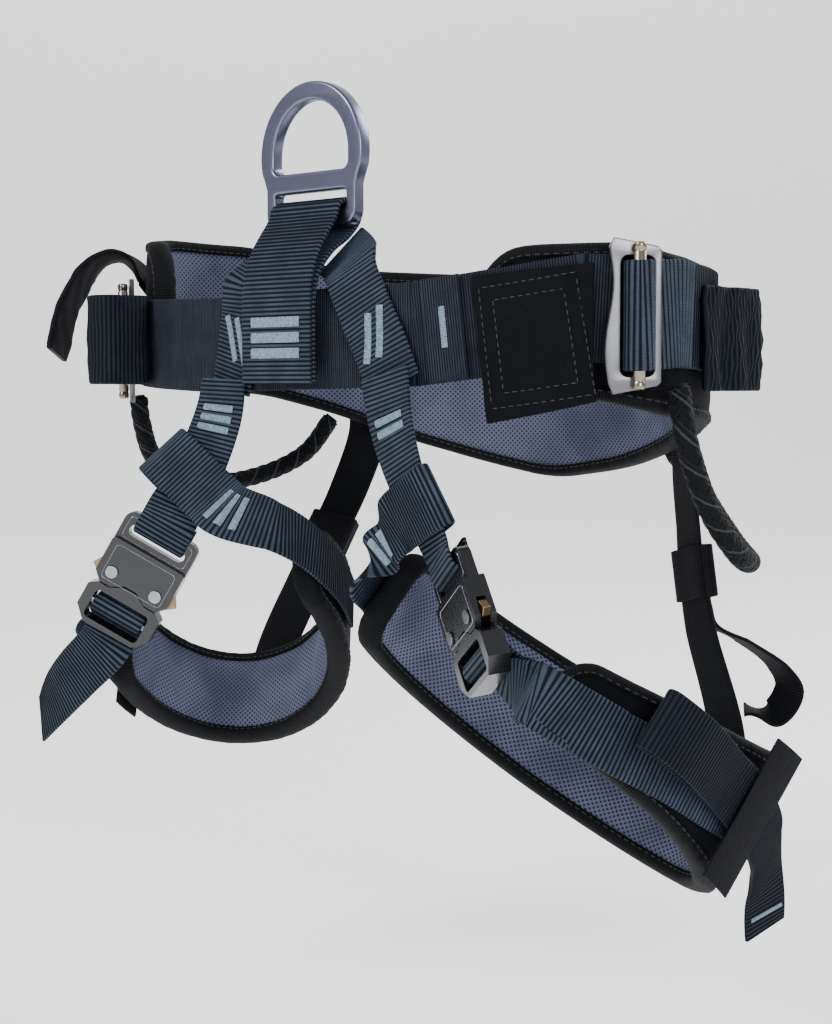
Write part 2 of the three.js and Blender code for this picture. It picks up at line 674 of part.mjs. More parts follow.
// The inner strap: a sewn sleeve round the riser, then along the outside of the pad's end.
function addInnerStrap(tag, leg, spec) {
  const { track } = leg;
  const { middle, run, face, sleeve, free, onPad } = spec;
  const along = run.clone().normalize();
  const off = face.clone().addScaledVector(along, -face.dot(along)).normalize();
  const near = ([a, f]) => middle.clone().addScaledVector(along, a).addScaledVector(off, f);
  const loop = sleeve.map(near);
  const points = [...loop, ...free, ...onPad.map((place) => track.at(...place))];
  const first = along.clone().cross(off);
  if (first.dot(track.up) < 0) first.negate();
  const part = (i) => Math.max(0, Math.min(1, (i - loop.length + 1) / (free.length + 1)));
  const across = points.map((_, i) => first.clone().lerp(track.up, part(i)));
  const strap = ribbon(points, across, { thick: THIN_WEBBING, width: 28, per: 2 });
  addPiece(`leg_strap_inner_${tag}`, strap, cloth(CLOTH.slate));
}

// The outer strap: from the pad, round the tongue's bar and out again.
function addOuterStrap(tag, leg, spec) {
  const { frame, track } = leg;
  const turn = BAR_TURN.map(([y, z]) => [0, y, z]);
  const threaded = [...spec.bar[0], ...turn, ...spec.bar[1]].map((p) => frame.place(...p));
  const free = (places) => places.map((place) => (place.isVector3 ? place : track.at(...place)));
  const before = free(spec.before).reverse();
  const after = free(spec.after);
  const points = [...before, ...threaded, ...after];
  const padSide = track.up.clone().multiplyScalar(Math.sign(track.up.dot(frame.across)));
  const first = before.length + spec.bar[0].length;
  const last = first + BAR_TURN.length - 1;
  const part = (i) => THREE.MathUtils.clamp((Math.max(first - i, i - last) - 2) / spec.twist, 0, 1);
  const across = points.map((_, i) => frame.across.clone().lerp(padSide, part(i)));
  const strap = ribbon(points, across, { width: 26, thick: THIN_WEBBING, per: 2 });
  addPiece(`leg_strap_outer_${tag}`, strap, cloth(CLOTH.slate));
}

// Round the tongue's bar, in the buckle's y and z.
const BAR_TURN = [[-12.9, -2.5], [-13.4, 1.6], [-15.2, 3.5], [-17.4, 3.9], [-19.9, 2.8], [-21.4, 0], [-21.6, -3]];

// The strap's free tail, folded back on itself.
function addStrapTail(tag, leg, tail) {
  const { track } = leg;
  const points = tail.map((place) => (place.isVector3 ? place : track.at(...place)));
  const across = points.map(() => track.up);
  const strap = ribbon(points, across, { thick: THIN_WEBBING, width: 27, per: 2 });
  addPiece(`leg_strap_tail_${tag}`, strap, cloth(CLOTH.slate));
}

// The rear riser: from the lower edge of the waist pad, through a keeper, to the outside of the leg pad.
function addRearRiser(tag, leg, spec) {
  const { track } = leg;
  const start = [belt.at(spec.waist, spec.top, 1.6), belt.at(spec.waist, spec.top - 18, 1.8)];
  const end = [track.at(spec.leg, spec.edge, 4), track.at(spec.leg, spec.edge - 24, 1.8)];
  const points = [...start, ...spec.free, ...end];
  const waistSide = v(0, 0, 1).cross(belt.outward(spec.waist));
  const legSide = track.up.clone().cross(track.outward(spec.leg));
  if (legSide.dot(waistSide) < 0) legSide.negate();
  const turned = (part) => waistSide.clone().lerp(legSide, part * part);
  const across = points.map((_, i) => turned(i / (points.length - 1)));
  const shape = { width: RISER_WEBBING, thick: THIN_WEBBING, per: 3 };
  addPiece(`rear_riser_${tag}`, ribbon(points, across, shape), cloth(CLOTH.elastic));
  const spot = start.length + 1;
  const line = points[spot + 1].clone().sub(points[spot - 1]).normalize();
  const side = turned(spot / (points.length - 1));
  side.addScaledVector(line, -side.dot(line)).normalize();
  const off = line.clone().cross(side);
  const frame = new THREE.Group();
  frame.matrix.makeBasis(side, off, side.clone().cross(off)).setPosition(points[spot]);
  frame.matrix.decompose(frame.position, frame.quaternion, frame.scale);
  group.add(frame);
  const sleeve = solid(box(-13.4, -3, -13, 13.4, 5.8, 13)).subtract(solid(box(-12, -1.6, -14, 12, 4.4, 14)));
  addPiece(`riser_keeper_${tag}`, geometryOf(sleeve), cloth(CLOTH.elastic), frame);
  const inKeeper = [[-8, 2.8], [5, 2.8], [15, 3.2], [24, 6]].map(([down, out]) =>
    points[spot].clone().addScaledVector(line, down).addScaledVector(off, out),
  );
  const route = [...inKeeper, ...spec.tail];
  const from = spot / (points.length - 1);
  const tailSide = route.map((_, i) => turned(i < inKeeper.length ? from : from + ((1 - from) * i) / route.length));
  const tail = ribbon(route, tailSide, { width: 18, thick: THIN_WEBBING, per: 2 });
  addPiece(`riser_tail_${tag}`, tail, cloth(CLOTH.elastic));
}

const STRAPS = {
  R: {
    inner: {
      middle: v(-45.6, -82.7, -66),
      run: v(0.755, 0.196, -0.615),
      face: v(0.52, -0.74, 0.405),
      sleeve: [[15, -5.8], [0, -5.8], [-17, -5.6], [-22.4, 0], [-17, 5.6], [0, 5.8], [15, 5.8]],
      free: [v(-19, -84, -79)],
      onPad: [[-66, 1, 3.5], [-52, 1, 2.2], [-38, 0, 1.8], [-24, 0, 1.8], [-10, 0, 1.8]],
    },
    outer: {
      twist: 6,
      bar: [
        [[0, -38, -11], [0, -28, -11.5], [0, -19, -9.5], [0, -14.2, -6.5]],
        [[0, -22.6, -6.3], [0, -28, -8.3], [0, -36, -8]],
      ],
      before: [v(-99, -101, -151), [176, -9, 5.8], [164, -8, 2.8], [150, -6, 1.9], [136, -5, 1.8], [122, -4, 1.8]],
      after: [v(-101, -108, -159), v(-115, -108, -170), v(-127, -106, -179), v(-137, -104, -187)],
    },
    elastic: { from: 142, to: 154, low: [[140, -25], [160, -25]], high: [[140, 22], [160, 22]], inner: 3.4 },
    rear: {
      waist: -140,
      top: -30,
      leg: 77,
      edge: 28,
      free: [v(-110, 84, -80), v(-108.5, 66, -104), v(-107, 47, -130)],
      tail: [v(-104, 59, -133), v(-98, 63, -140)],
    },
  },
  L: {
    inner: {
      middle: v(82.7, -65.8, -74.5),
      run: v(-0.9, 0.3, -0.45),
      face: v(-0.2, -0.95, -0.23),
      sleeve: [[17, -4.4], [0, -4.1], [-14, -3.4], [-18, 0], [-14, 3.5], [0, 4.3], [16, 4]],
      free: [v(61, -62.5, -91)],
      onPad: [[180, 3, 6], [166, 2, 2.6], [152, 0, 1.8], [138, 0, 1.8], [124, 0, 1.8]],
    },
    outer: {
      twist: 4,
      bar: [
        [[9, -37, -13], [1.5, -28, -12], [0, -19, -9.5], [0, -14.2, -6.5]],
        [[0, -22.6, -6.3], [2, -28.5, -8.6], [10, -36, -9.5]],
      ],
      before: [
        [-96, -14, 4.8], [-86, -13, 3.2], [-74, -11, 2.4], [-58, -7, 1.7], [-40, -4, 1.5],
        [-20, 0, 1.5], [0, 0, 1.5], [15, 0, 1.5],
      ],
      after: [[-96, -14, 7.8], [-85, -13, 6], [-75, -11.5, 5.2]],
    },
    tail: [
      [4, 2, 4], [-8, 2, 4], [-20, 3, 4], [-36, 4, 4.2], [-46, 4, 5.4], [-56, 4, 8.6], [-65, 4, 13],
      [-72, 3, 18], [-71, 3, 22.5], [-62, 3, 21.5], [-54, 3, 15.5], [-48, 3, 10.5], [-43, 3, 7.6],
      [-36, 2, 6.9], [-27, 1.5, 6.8], [-18, 0, 7], [-8, -2, 9], [4, -4, 13.5], v(172, 68, -246), v(168, 75, -270),
    ],
    elastic: { from: -37, to: -21, low: [[-37, -31], [-21, -31]], high: [[-37, 29], [-21, 31]], inner: 9.6, lean: -0.4 },
    rear: {
      waist: 142,
      top: -44,
      leg: 42,
      edge: 33,
      free: [v(109, 96, -88), v(113, 94, -112), v(119.5, 92, -137)],
      tail: [v(131, 110, -144), v(144, 122, -157), v(148, 126, -168), v(142, 121, -180), v(131, 113, -178)],
    },
  },
};

addWaistPad();
addFrontBelt();
addAdjuster("L");
addAdjuster("R");
addTailRoll("L", 96, -2, [[2, 6], [8, 8], [13, 13], [17, 18.5], [20, 18], [19, 12], [14, 7.4], [9, 4.4]]);
addTailRoll("R", -51.5, 1, [
  [-4, 4.4], [1, 4.6], [4, 8], [4.8, 16], [4.4, 26], [1.5, 32], [-1.5, 31.5], [-3.4, 26], [-3.4, 16],
  [-2.4, 10], [0, 9.6], [1.2, 13],
]);
addIdTab();
addGearLoop("R", GEAR_ROUTE.R);
addGearLoop("L", GEAR_ROUTE.L);
addTieInRing();
addCentreStrap();
for (const tag of ["R", "L"]) {
  addYokeStrap(tag);
  const leg = LEGS[tag];
  const names = { shell: `leg_pad_shell_${tag}`, foam: `leg_pad_foam_${tag}`, lining: `leg_pad_lining_${tag}` };
  addPad({ ...names, binding: `leg_pad_binding_${tag}` }, { track: leg.track, ...leg.pad });
  addBuckle(tag, leg);
  addLegRiser(tag, leg);
  addInnerStrap(tag, leg, STRAPS[tag].inner);
  addOuterStrap(tag, leg, STRAPS[tag].outer);
  if (STRAPS[tag].tail) addStrapTail(tag, leg, STRAPS[tag].tail);
  addPiece(`leg_elastic_${tag}`, strip(leg.track, { ...STRAPS[tag].elastic, thick: 1.2 }), cloth(CLOTH.elastic));
  addRearRiser(tag, leg, STRAPS[tag].rear);
}

export default group;
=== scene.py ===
# %% [markdown]
# # A tree climbing saddle
# This lesson dresses a sit harness for tree work: a padded waist belt with a tie-in ring, and two padded leg
# loops. The frame that is loaded holds every part at its real size. Each soft part is worked out again here as
# a fine surface in the same place, and each metal part gets rounded edges and a proper finish.

# %% Load the frame
import json
import math

import bmesh
import bpy
import numpy as np
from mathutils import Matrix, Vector


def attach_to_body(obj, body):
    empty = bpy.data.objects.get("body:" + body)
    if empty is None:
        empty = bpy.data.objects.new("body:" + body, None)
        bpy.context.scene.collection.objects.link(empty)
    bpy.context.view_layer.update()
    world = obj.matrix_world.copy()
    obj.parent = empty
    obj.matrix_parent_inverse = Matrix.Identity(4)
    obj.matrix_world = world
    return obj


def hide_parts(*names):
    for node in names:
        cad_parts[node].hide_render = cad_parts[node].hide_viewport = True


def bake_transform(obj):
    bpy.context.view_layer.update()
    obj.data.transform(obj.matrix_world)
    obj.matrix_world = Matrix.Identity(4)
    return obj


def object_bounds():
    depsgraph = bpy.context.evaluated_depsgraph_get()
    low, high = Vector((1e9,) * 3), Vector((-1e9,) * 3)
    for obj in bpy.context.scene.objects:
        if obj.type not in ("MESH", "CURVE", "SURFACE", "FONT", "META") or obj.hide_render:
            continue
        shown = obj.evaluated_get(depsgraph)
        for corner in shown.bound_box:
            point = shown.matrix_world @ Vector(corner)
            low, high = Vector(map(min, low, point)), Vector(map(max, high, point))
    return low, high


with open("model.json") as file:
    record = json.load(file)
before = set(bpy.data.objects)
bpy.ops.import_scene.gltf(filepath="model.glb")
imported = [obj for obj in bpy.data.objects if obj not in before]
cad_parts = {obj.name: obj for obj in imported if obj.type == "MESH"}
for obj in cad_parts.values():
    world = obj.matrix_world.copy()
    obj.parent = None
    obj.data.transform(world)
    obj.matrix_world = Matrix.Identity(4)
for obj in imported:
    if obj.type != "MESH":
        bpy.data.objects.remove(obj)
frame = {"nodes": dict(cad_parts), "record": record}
cad_box = [list(corner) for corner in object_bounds()]
NODES = frame["nodes"]
RECORD = frame["record"]
BODY_OF = {node: body for body, nodes in RECORD["behaviour"]["bodies"].items() for node in nodes}
MM = 0.001

# %% [markdown]
# ## Finishes as expressions
# A finish is a small sum: how much rib, how much hole, how much wear. A class that wraps a node's output lets
# the sum be written as ordinary arithmetic, and one method makes every other node.

# %% Values and paints
class Value:
    """A number that varies over a surface; arithmetic on it adds Math nodes."""

    def __init__(self, paint, socket):
        self.paint = paint
        self.socket = socket

    def math(self, operation, *others):
        return self.paint.node("ShaderNodeMath", {"operation": operation}, [self, *others])

    def __add__(self, other):
        return self.math("ADD", other)

    def __sub__(self, other):
        return self.math("SUBTRACT", other)

    def __rsub__(self, other):
        return self.paint.node("ShaderNodeMath", {"operation": "SUBTRACT"}, [other, self])

    def __mul__(self, other):
        return self.math("MULTIPLY", other)

    __radd__ = __add__
    __rmul__ = __mul__

    def sin(self):
        return self.math("SINE")

    def wave(self, pitch, shift=0.0):
        """0 to 1 and back once every pitch metres."""
        return (self * (2 * math.pi / pitch) + shift).sin() * 0.5 + 0.5

    def step(self, low, high):
        """0 below low, 1 above high and a smooth change between them."""
        settings = {"interpolation_type": "SMOOTHSTEP"}
        return self.paint.node("ShaderNodeMapRange", settings, {0: self, 1: low, 2: high})


class Paint:
    """One material. Its even values are set on the shader's own sockets, and node() adds what varies."""

    def __init__(self, name, color=(0.5, 0.5, 0.5), **even):
        self.material = bpy.data.materials.new(name)
        self.material.use_nodes = True
        self.tree = self.material.node_tree
        self.shader = self.tree.nodes["Principled BSDF"]
        self.shader.inputs["Base Color"].default_value = (*color, 1)
        for socket, number in even.items():
            self.shader.inputs[socket.replace("_", " ")].default_value = number

    def plug(self, socket, what):
        if isinstance(what, Value):
            self.tree.links.new(what.socket, socket)
        elif isinstance(what, tuple) and len(what) == 3 and socket.type == "RGBA":
            socket.default_value = (*what, 1)
        elif what is not None:
            socket.default_value = what

    def node(self, kind, settings=None, sockets=None, out=0):
        """Adds a node: its settings first, then the values or links of its sockets."""
        made = self.tree.nodes.new(kind)
        for key, setting in (settings or {}).items():
            setattr(made, key, setting)
        rows = sockets.items() if isinstance(sockets, dict) else enumerate(sockets or [])
        for key, what in rows:
            self.plug(made.inputs[key], what)
        return Value(self, made.outputs[out])

    def mix(self, share, first, second):
        """A colour between two others."""
        return self.node("ShaderNodeMix", {"data_type": "RGBA"}, {0: share, 6: first, 7: second}, out=2)

    def along_across(self):
        """Metres along and across a band, from its own UV map."""
        uv = self.node("ShaderNodeUVMap")
        made = self.node("ShaderNodeSeparateXYZ", None, [uv]).socket.node
        return Value(self, made.outputs[0]), Value(self, made.outputs[1])

    def noise(self, size, detail=2.0, rough=0.5):
        """Uneven patches about so many metres across."""
        place = self.node("ShaderNodeTexCoord", out=3)
        return self.node("ShaderNodeTexNoise", None, {0: place, 2: 1 / size, 3: detail, 4: rough})

    def feed(self, **sockets):
        for name, what in sockets.items():
            self.plug(self.shader.inputs[name.replace("_", " ")], what)

    def bump(self, height, depth, strength=1.0):
        """Small relief: height is 0 to 1, depth is in metres."""
        normal = self.node("ShaderNodeBump", None, {"Height": height, "Distance": depth, "Strength": strength})
        self.feed(Normal=normal)


print("paints are ready")

# %% [markdown]
# ## Webbing
# Polyester webbing is woven with a cord across it every 2 mm. The face yarns ride over each cord, catch the
# light and look pale, and the valleys stay almost black. The belt itself has a finer, flatter weave.

# %% Webbing finishes
VALLEY = (0.0015, 0.0025, 0.005)
RIDGE = (0.05, 0.068, 0.098)
YARN = 0.00095


def woven(name, pitch, ridge=RIDGE, valley=VALLEY, share=0.55, relief=0.00035, **even):
    """Ribs across a band every pitch metres, crossed by the face yarns, which step by half a yarn each rib."""
    paint = Paint(name, Roughness=0.72, Specular_IOR_Level=0.12, **even)
    along, across = paint.along_across()
    rib = along.wave(pitch)
    yarn = across.wave(YARN)
    worn = paint.noise(0.011, 4.0, 0.6).step(0.3, 0.75)
    height = rib.step(0.12, 0.8) * (yarn * 0.4 + 0.6)
    paint.feed(Base_Color=paint.mix(height * (worn * 0.35 + share), valley, ridge))
    paint.feed(Roughness=0.86 - height * 0.22)
    paint.bump(height, relief, 0.8)
    return paint.material


WEBBING = woven("strap webbing", 0.00205)
BELT_WEBBING = woven("belt webbing", 0.0012, ridge=(0.036, 0.042, 0.06), share=0.4, relief=0.0002)
# Painted shade: a darker copy of the strap webbing for the free tails, which hang in shadow. The darkness is
# shade, not the webbing's own colour.
PAINTED_SHADE_WEBBING = woven("strap webbing with painted shade", 0.00205, ridge=(0.012, 0.016, 0.024), share=0.5)
ELASTIC = woven(
    "elastic webbing", 0.0011, ridge=(0.009, 0.0095, 0.013), valley=(0.001, 0.001, 0.002), relief=0.0002
)
BINDING = woven(
    "binding tape", 0.0013, ridge=(0.006, 0.0065, 0.009), valley=(0.001, 0.001, 0.0015), relief=0.00025
)
print("webbings:", WEBBING.name, BELT_WEBBING.name, PAINTED_SHADE_WEBBING.name, ELASTIC.name, BINDING.name)

# %% [markdown]
# ## Mesh, pack cloth, cord and thread
# The lining is a knitted spacer mesh: blue-grey yarn round rows of small holes, each row shifted by half a
# hole.
# The shell is a tight black pack cloth, and the gear loops are a braided cord with a few pale yarns.

# %% Mesh lining and pack cloth
def mesh_lining():
    """Dark holes on a staggered grid: one grid of dots, and the same grid shifted by half a step both ways."""
    paint = Paint("mesh lining", Roughness=0.8, Specular_IOR_Level=0.15)
    along, across = paint.along_across()
    step_along, step_across = 0.0032, 0.0026

    def dots(shift):
        a = along.wave(step_along, shift)
        b = across.wave(step_across, shift)
        return a * b

    holes = dots(0.0).math("MAXIMUM", dots(math.pi)).step(0.5, 0.72)
    knit = paint.noise(0.0012, 3.0, 0.7)
    patch = paint.noise(0.03, 2.0, 0.5).step(0.3, 0.7)
    yarn = paint.mix(patch, (0.062, 0.069, 0.112), (0.1, 0.107, 0.165))
    paint.feed(Base_Color=paint.mix(holes * 0.86, yarn, (0.006, 0.007, 0.014)))
    paint.bump(knit * 0.25 + (1 - holes), 0.0005, 0.7)
    return paint.material


def pack_cloth():
    """A plain weave of fine yarns, with soft uneven wear."""
    paint = Paint("pack cloth", Roughness=0.8, Specular_IOR_Level=0.08)
    along, across = paint.along_across()
    weave = along.wave(0.0008) * across.wave(0.0008)
    wear = paint.noise(0.02, 4.0, 0.6)
    black, rubbed = (0.0012, 0.0013, 0.0018), (0.005, 0.0055, 0.0075)
    paint.feed(Base_Color=paint.mix(wear * 0.6 + weave * 0.3, black, rubbed))
    paint.bump(weave + wear * 0.6, 0.00025, 0.8)
    return paint.material


MESH = mesh_lining()
PACK_CLOTH = pack_cloth()
print("cloths:", MESH.name, PACK_CLOTH.name)


# %% Cord, thread and label
def braid(name, fleck):
    """Two sets of yarns that wind round a cord opposite ways; every few yarns, one is pale."""
    paint = Paint(name, Roughness=0.7, Specular_IOR_Level=0.12)
    along, around = paint.along_across()
    right = (along + around).wave(0.0034)
    left = (along - around).wave(0.0034)
    pale = ((along + around).wave(0.0137) * right).step(0.55, 0.75)
    paint.feed(Base_Color=paint.mix(pale, (0.002, 0.0022, 0.003), fleck))
    paint.bump(right.math("MAXIMUM", left), 0.0006, 0.9)
    return paint.material


def plain(name, dark, light, size=0.004, relief=0.0001, **even):
    """Two close shades in small patches, with a faint grain."""
    paint = Paint(name, **even)
    grain = paint.noise(size, 4.0, 0.6)
    paint.feed(Base_Color=paint.mix(grain.step(0.3, 0.7), dark, light))
    paint.bump(grain, relief, 0.5)
    return paint.material


BRAID = braid("gear cord", (0.024, 0.027, 0.034))
THREAD = plain("pale thread", (0.09, 0.135, 0.17), (0.2, 0.28, 0.34), size=0.0012, Roughness=0.6)
BLACK_THREAD = plain("black thread", (0.003, 0.003, 0.004), (0.012, 0.013, 0.016), size=0.001, Roughness=0.5)
LABEL = plain("label cloth", (0.13, 0.137, 0.165), (0.2, 0.21, 0.25), size=0.002, Roughness=0.75)
print("cords:", BRAID.name, "threads:", THREAD.name, BLACK_THREAD.name)


# %% [markdown]
# ## Metals
# Each metal has a body colour and a paler one in small scuffs. The scuffs also change its roughness, so that
# its highlights break up. Rounded edges catch the light by themselves.

# %% Metals
def metal(name, body, scuffed, rough=0.35, coat=0.0, metallic=1.0, wear=(0.6, 0.74), grain=0.002):
    """A body colour with fine scuffs of a paler one, which are rougher too."""
    paint = Paint(name, Metallic=metallic, Roughness=rough, Coat_Weight=coat, Coat_Roughness=0.12)
    scuff = paint.noise(grain, 5.0, 0.65)
    bare = scuff.step(*wear)
    paint.feed(Base_Color=paint.mix(bare, body, scuffed))
    paint.feed(Roughness=scuff * 0.16 + (rough - 0.08))
    paint.bump(scuff, 0.00004, 0.4)
    return paint.material


RING_METAL = metal("ring metal", (0.15, 0.15, 0.215), (0.2, 0.2, 0.27), rough=0.33)
STEEL = metal("adjuster steel", (0.13, 0.127, 0.135), (0.2, 0.19, 0.18), rough=0.3)
BRASS = metal("adjuster bar metal", (0.24, 0.21, 0.16), (0.34, 0.3, 0.22), rough=0.28)
BUCKLE_BLACK = metal(
    "buckle black", (0.0035, 0.0035, 0.005), (0.012, 0.012, 0.016), rough=0.26, coat=0.25, metallic=0.0
)
BRIGHT = metal("bright steel", (0.3, 0.3, 0.33), (0.45, 0.45, 0.48), rough=0.25)
BRONZE = metal("bronze levers", (0.3, 0.19, 0.11), (0.6, 0.45, 0.3), rough=0.3)
print("metals:", RING_METAL.name, STEEL.name, BRASS.name, BUCKLE_BLACK.name, BRIGHT.name, BRONZE.name)

# %% [markdown]
# ## Tracks
# The belt and each leg loop follow an oval: half an ellipse in front and half behind. A place on it is given by
# millimetres along, millimetres across and millimetres off it, and every pad and strap is drawn in those three
# numbers. Whole arrays of places are worked out at once.

# %% The oval tracks
def unit(vectors):
    return vectors / np.linalg.norm(vectors, axis=-1, keepdims=True)


def vec(*numbers):
    return np.array(numbers, float)


class Track:
    """centre + first * reach * cos(angle) + second * side * sin(angle), with reach in front and behind."""

    def __init__(self, centre, first, second, up, front, back, side):
        self.centre, self.first, self.second, self.up = (vec(*row) for row in (centre, first, second, up))
        self.front, self.back, self.side = front, back, side
        self.turns = np.linspace(-180, 540, 2881)
        steps = np.linalg.norm(np.diff(self.point(self.turns), axis=0), axis=1)
        self.table = np.concatenate([[0], np.cumsum(steps)])
        self.table -= np.interp(0, self.turns, self.table)

    def reach(self, degrees):
        return np.where(np.cos(np.radians(degrees)) > 0, self.front, self.back)

    def point(self, degrees):
        a = np.radians(degrees)[..., None]
        reach = self.reach(degrees)[..., None]
        return self.centre + self.first * reach * np.cos(a) + self.second * self.side * np.sin(a)

    def outward(self, degrees):
        degrees = np.asarray(degrees, float)
        a = np.radians(degrees)[..., None]
        reach = self.reach(degrees)[..., None]
        return unit(self.first * np.cos(a) / reach + self.second * np.sin(a) / self.side)

    def along(self, degrees):
        return np.interp(degrees, self.turns, self.table)

    def angle(self, s):
        return np.interp(s, self.table, self.turns)

    def at(self, degrees, across, out):
        degrees, across, out = np.broadcast_arrays(*(np.asarray(k, float) for k in (degrees, across, out)))
        return self.point(degrees) + self.up * across[..., None] + self.outward(degrees) * out[..., None]

    def place(self, s, across, out):
        return self.at(self.angle(np.asarray(s, float)), across, out)


BELT = Track((0, 0, 0), (0, -1, 0), (1, 0, 0), (0, 0, 1), 60, 125, 166)
LEG = {
    "R": Track(
        (-63.3, -45.4, -136.5), (0.7314, 0.682, 0), (-0.53, 0.568, -0.63), (-0.43, 0.461, 0.776), 60, 60, 84
    ),
    "L": Track(
        (116, -8, -163), (0.606, 0.565, -0.559), (-0.645, 0.692, -0.326), (0.206, 0.567, 0.797), 99, 99, 64
    ),
}
print("belt is", round(BELT.along(180) - BELT.along(-180)), "mm round")


# %% [markdown]
# ## Making a mesh
# Every surface below is a grid of points. Its faces are the squares between neighbours, turned so that they
# point out, and its UV map holds metres along and across, which is what the weaves read.

# %% From grids to meshes
def signed_volume(points, quads):
    """Six times the volume that the faces close in, seen from their middle, negative when they face inwards."""
    points = points - points.mean(axis=0)
    a, b, c, d = (points[quads[:, k]] for k in range(4))
    return np.einsum("ij,ij->", a, np.cross(b, c)) + np.einsum("ij,ij->", a, np.cross(c, d))


def ring_quads(rings, sides, looped=False):
    """The squares of a skin made of rings of points: each joins a point, its next and both on the next ring."""
    i, k = np.meshgrid(np.arange(rings if looped else rings - 1), np.arange(sides), indexing="ij")
    j, m = (i + 1) % rings, (k + 1) % sides
    return np.stack([i * sides + k, i * sides + m, j * sides + m, j * sides + k], axis=-1).reshape(-1, 4)


def make_mesh(name, points, quads, paint, uv=None, caps=()):
    """A smooth-shaded object from points in millimetres, square faces and flat end caps."""
    if signed_volume(points, quads) < 0:
        quads = quads[:, ::-1]
        caps = [cap[::-1] for cap in caps]
    mesh = bpy.data.meshes.new(name)
    mesh.from_pydata((points * MM).tolist(), [], quads.tolist() + [list(cap) for cap in caps])
    if uv is not None:
        corners = np.empty(len(mesh.loops), np.int32)
        mesh.loops.foreach_get("vertex_index", corners)
        layer = mesh.uv_layers.new(name="UVMap")
        layer.data.foreach_set("uv", (uv[corners] * MM).astype(np.float32).ravel())
    mesh.polygons.foreach_set("use_smooth", np.ones(len(mesh.polygons), bool))
    mesh.materials.append(paint)
    mesh.update()
    piece = bpy.data.objects.new(name, mesh)
    bpy.context.scene.collection.objects.link(piece)
    return piece


BENDS = {}  # parts that bend between two bodies: where the bend starts and ends


def attach(piece, node, hides=True):
    """The piece goes onto the body of a part of the frame, or stays baked in place if that part is listed as
    bending, and may hide it.
    """
    if hides:
        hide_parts(node)
    if node in BENDS:
        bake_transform(piece)
    else:
        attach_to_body(piece, BODY_OF[node])
    return piece


print("meshes are ready")


# %% [markdown]
# ## Bands
# All webbing is one kind of thing: a middle line, a direction across and a direction off the face at every
# millimetre. A band keeps those, so that its skin, its sewing and its label are all drawn on the same lines.

# %% Smooth lines and bands
def smooth_line(points, samples):
    """A centripetal Catmull-Rom curve through the points: in each span, a cubic whose slopes follow the
    neighbours, weighted by the square root of their distances."""
    points = np.array(points, float)
    ends = [2 * points[0] - points[1], *points, 2 * points[-1] - points[-2]]
    p = np.array(ends)
    low = np.minimum(np.floor(samples).astype(int), len(points) - 2)
    t = (samples - low)[:, None]
    p0, p1, p2, p3 = (p[low + k] for k in range(4))
    d0, d1, d2 = (np.sqrt(np.linalg.norm(b - a, axis=1))[:, None] for a, b in ((p0, p1), (p1, p2), (p2, p3)))
    m1 = ((p1 - p0) / d0 - (p2 - p0) / (d0 + d1) + (p2 - p1) / d1) * d1
    m2 = ((p2 - p1) / d1 - (p3 - p1) / (d1 + d2) + (p3 - p2) / d2) * d1
    c2 = 3 * (p2 - p1) - 2 * m1 - m2
    c3 = 2 * (p1 - p2) + m1 + m2
    return p1 + m1 * t + c2 * t**2 + c3 * t**3


def even_steps(line, step):
    """Arc length along a line of points, and the same length cut into even steps."""
    lengths = np.concatenate([[0], np.cumsum(np.linalg.norm(np.diff(line, axis=0), axis=1))])
    return lengths, np.linspace(0, lengths[-1], max(int(lengths[-1] / step), 2) + 1)


def resample(lengths, wanted, rows):
    """Rows of numbers known at some lengths, read off by straight lines between them at the wanted lengths."""
    return np.stack([np.interp(wanted, lengths, rows[:, k]) for k in range(rows.shape[1])], axis=1)


class Band:
    """A flat strip: s, middle, side (unit, across), off (unit, off its face), width and thickness."""

    def __init__(self, s, middle, side, width, thick):
        forward = unit(np.gradient(middle, axis=0))
        side = unit(side - forward * np.sum(side * forward, axis=1, keepdims=True))
        self.s, self.middle, self.side, self.width, self.thick = s, middle, side, width, thick
        self.off = np.cross(forward, side)
        self.length = s[-1]

    def at(self, s, across, lift, face=1):
        """Places on the band: lift is millimetres above its front (face 1) or its back (face -1)."""
        s, across, lift = np.broadcast_arrays(*(np.asarray(k, float) for k in (s, across, lift)))
        middle, side, off = (resample(self.s, s, rows) for rows in (self.middle, self.side, self.off))
        return middle + side * across[:, None] + off * (face * (self.thick / 2 + lift))[:, None]


def ribbon(points, across, width, thick, step=0.4):
    """A band along a smooth line through the points, turning from one across direction to the next."""
    fine = np.linspace(0, len(points) - 1, (len(points) - 1) * 40 + 1)
    line = smooth_line(points, fine)
    lengths, s = even_steps(line, step)
    spans = np.arange(len(points))
    u = np.interp(s, lengths, fine)
    side = resample(spans, u, np.array(across, float))
    widths = np.interp(u, spans, np.broadcast_to(width, len(points)))
    return Band(s, resample(lengths, s, line), side, widths, thick)


def strip(track, start, end, low, high, inner, thick, lean=0.0, step=0.4):
    """A band lying on a track between two angles, with its lower and upper edges given by angle."""
    s = np.arange(track.along(start), track.along(end) + step, step)
    degrees = track.angle(s)
    bottom, top = (np.interp(degrees, *zip(*edge)) for edge in (low, high))
    below = track.place(s + lean * bottom, bottom, inner + thick / 2)
    above = track.place(s + lean * top, top, inner + thick / 2)
    width = np.linalg.norm(above - below, axis=1)
    band = Band(s - s[0], (above + below) / 2, above - below, width, thick)
    if np.sum(band.off[0] * track.outward(degrees[:1])[0]) < 0:
        band.side, band.off = -band.side, -band.off
    return band


print("bands are ready")


# %% Skin over a band
RIB_PITCH = 2.05


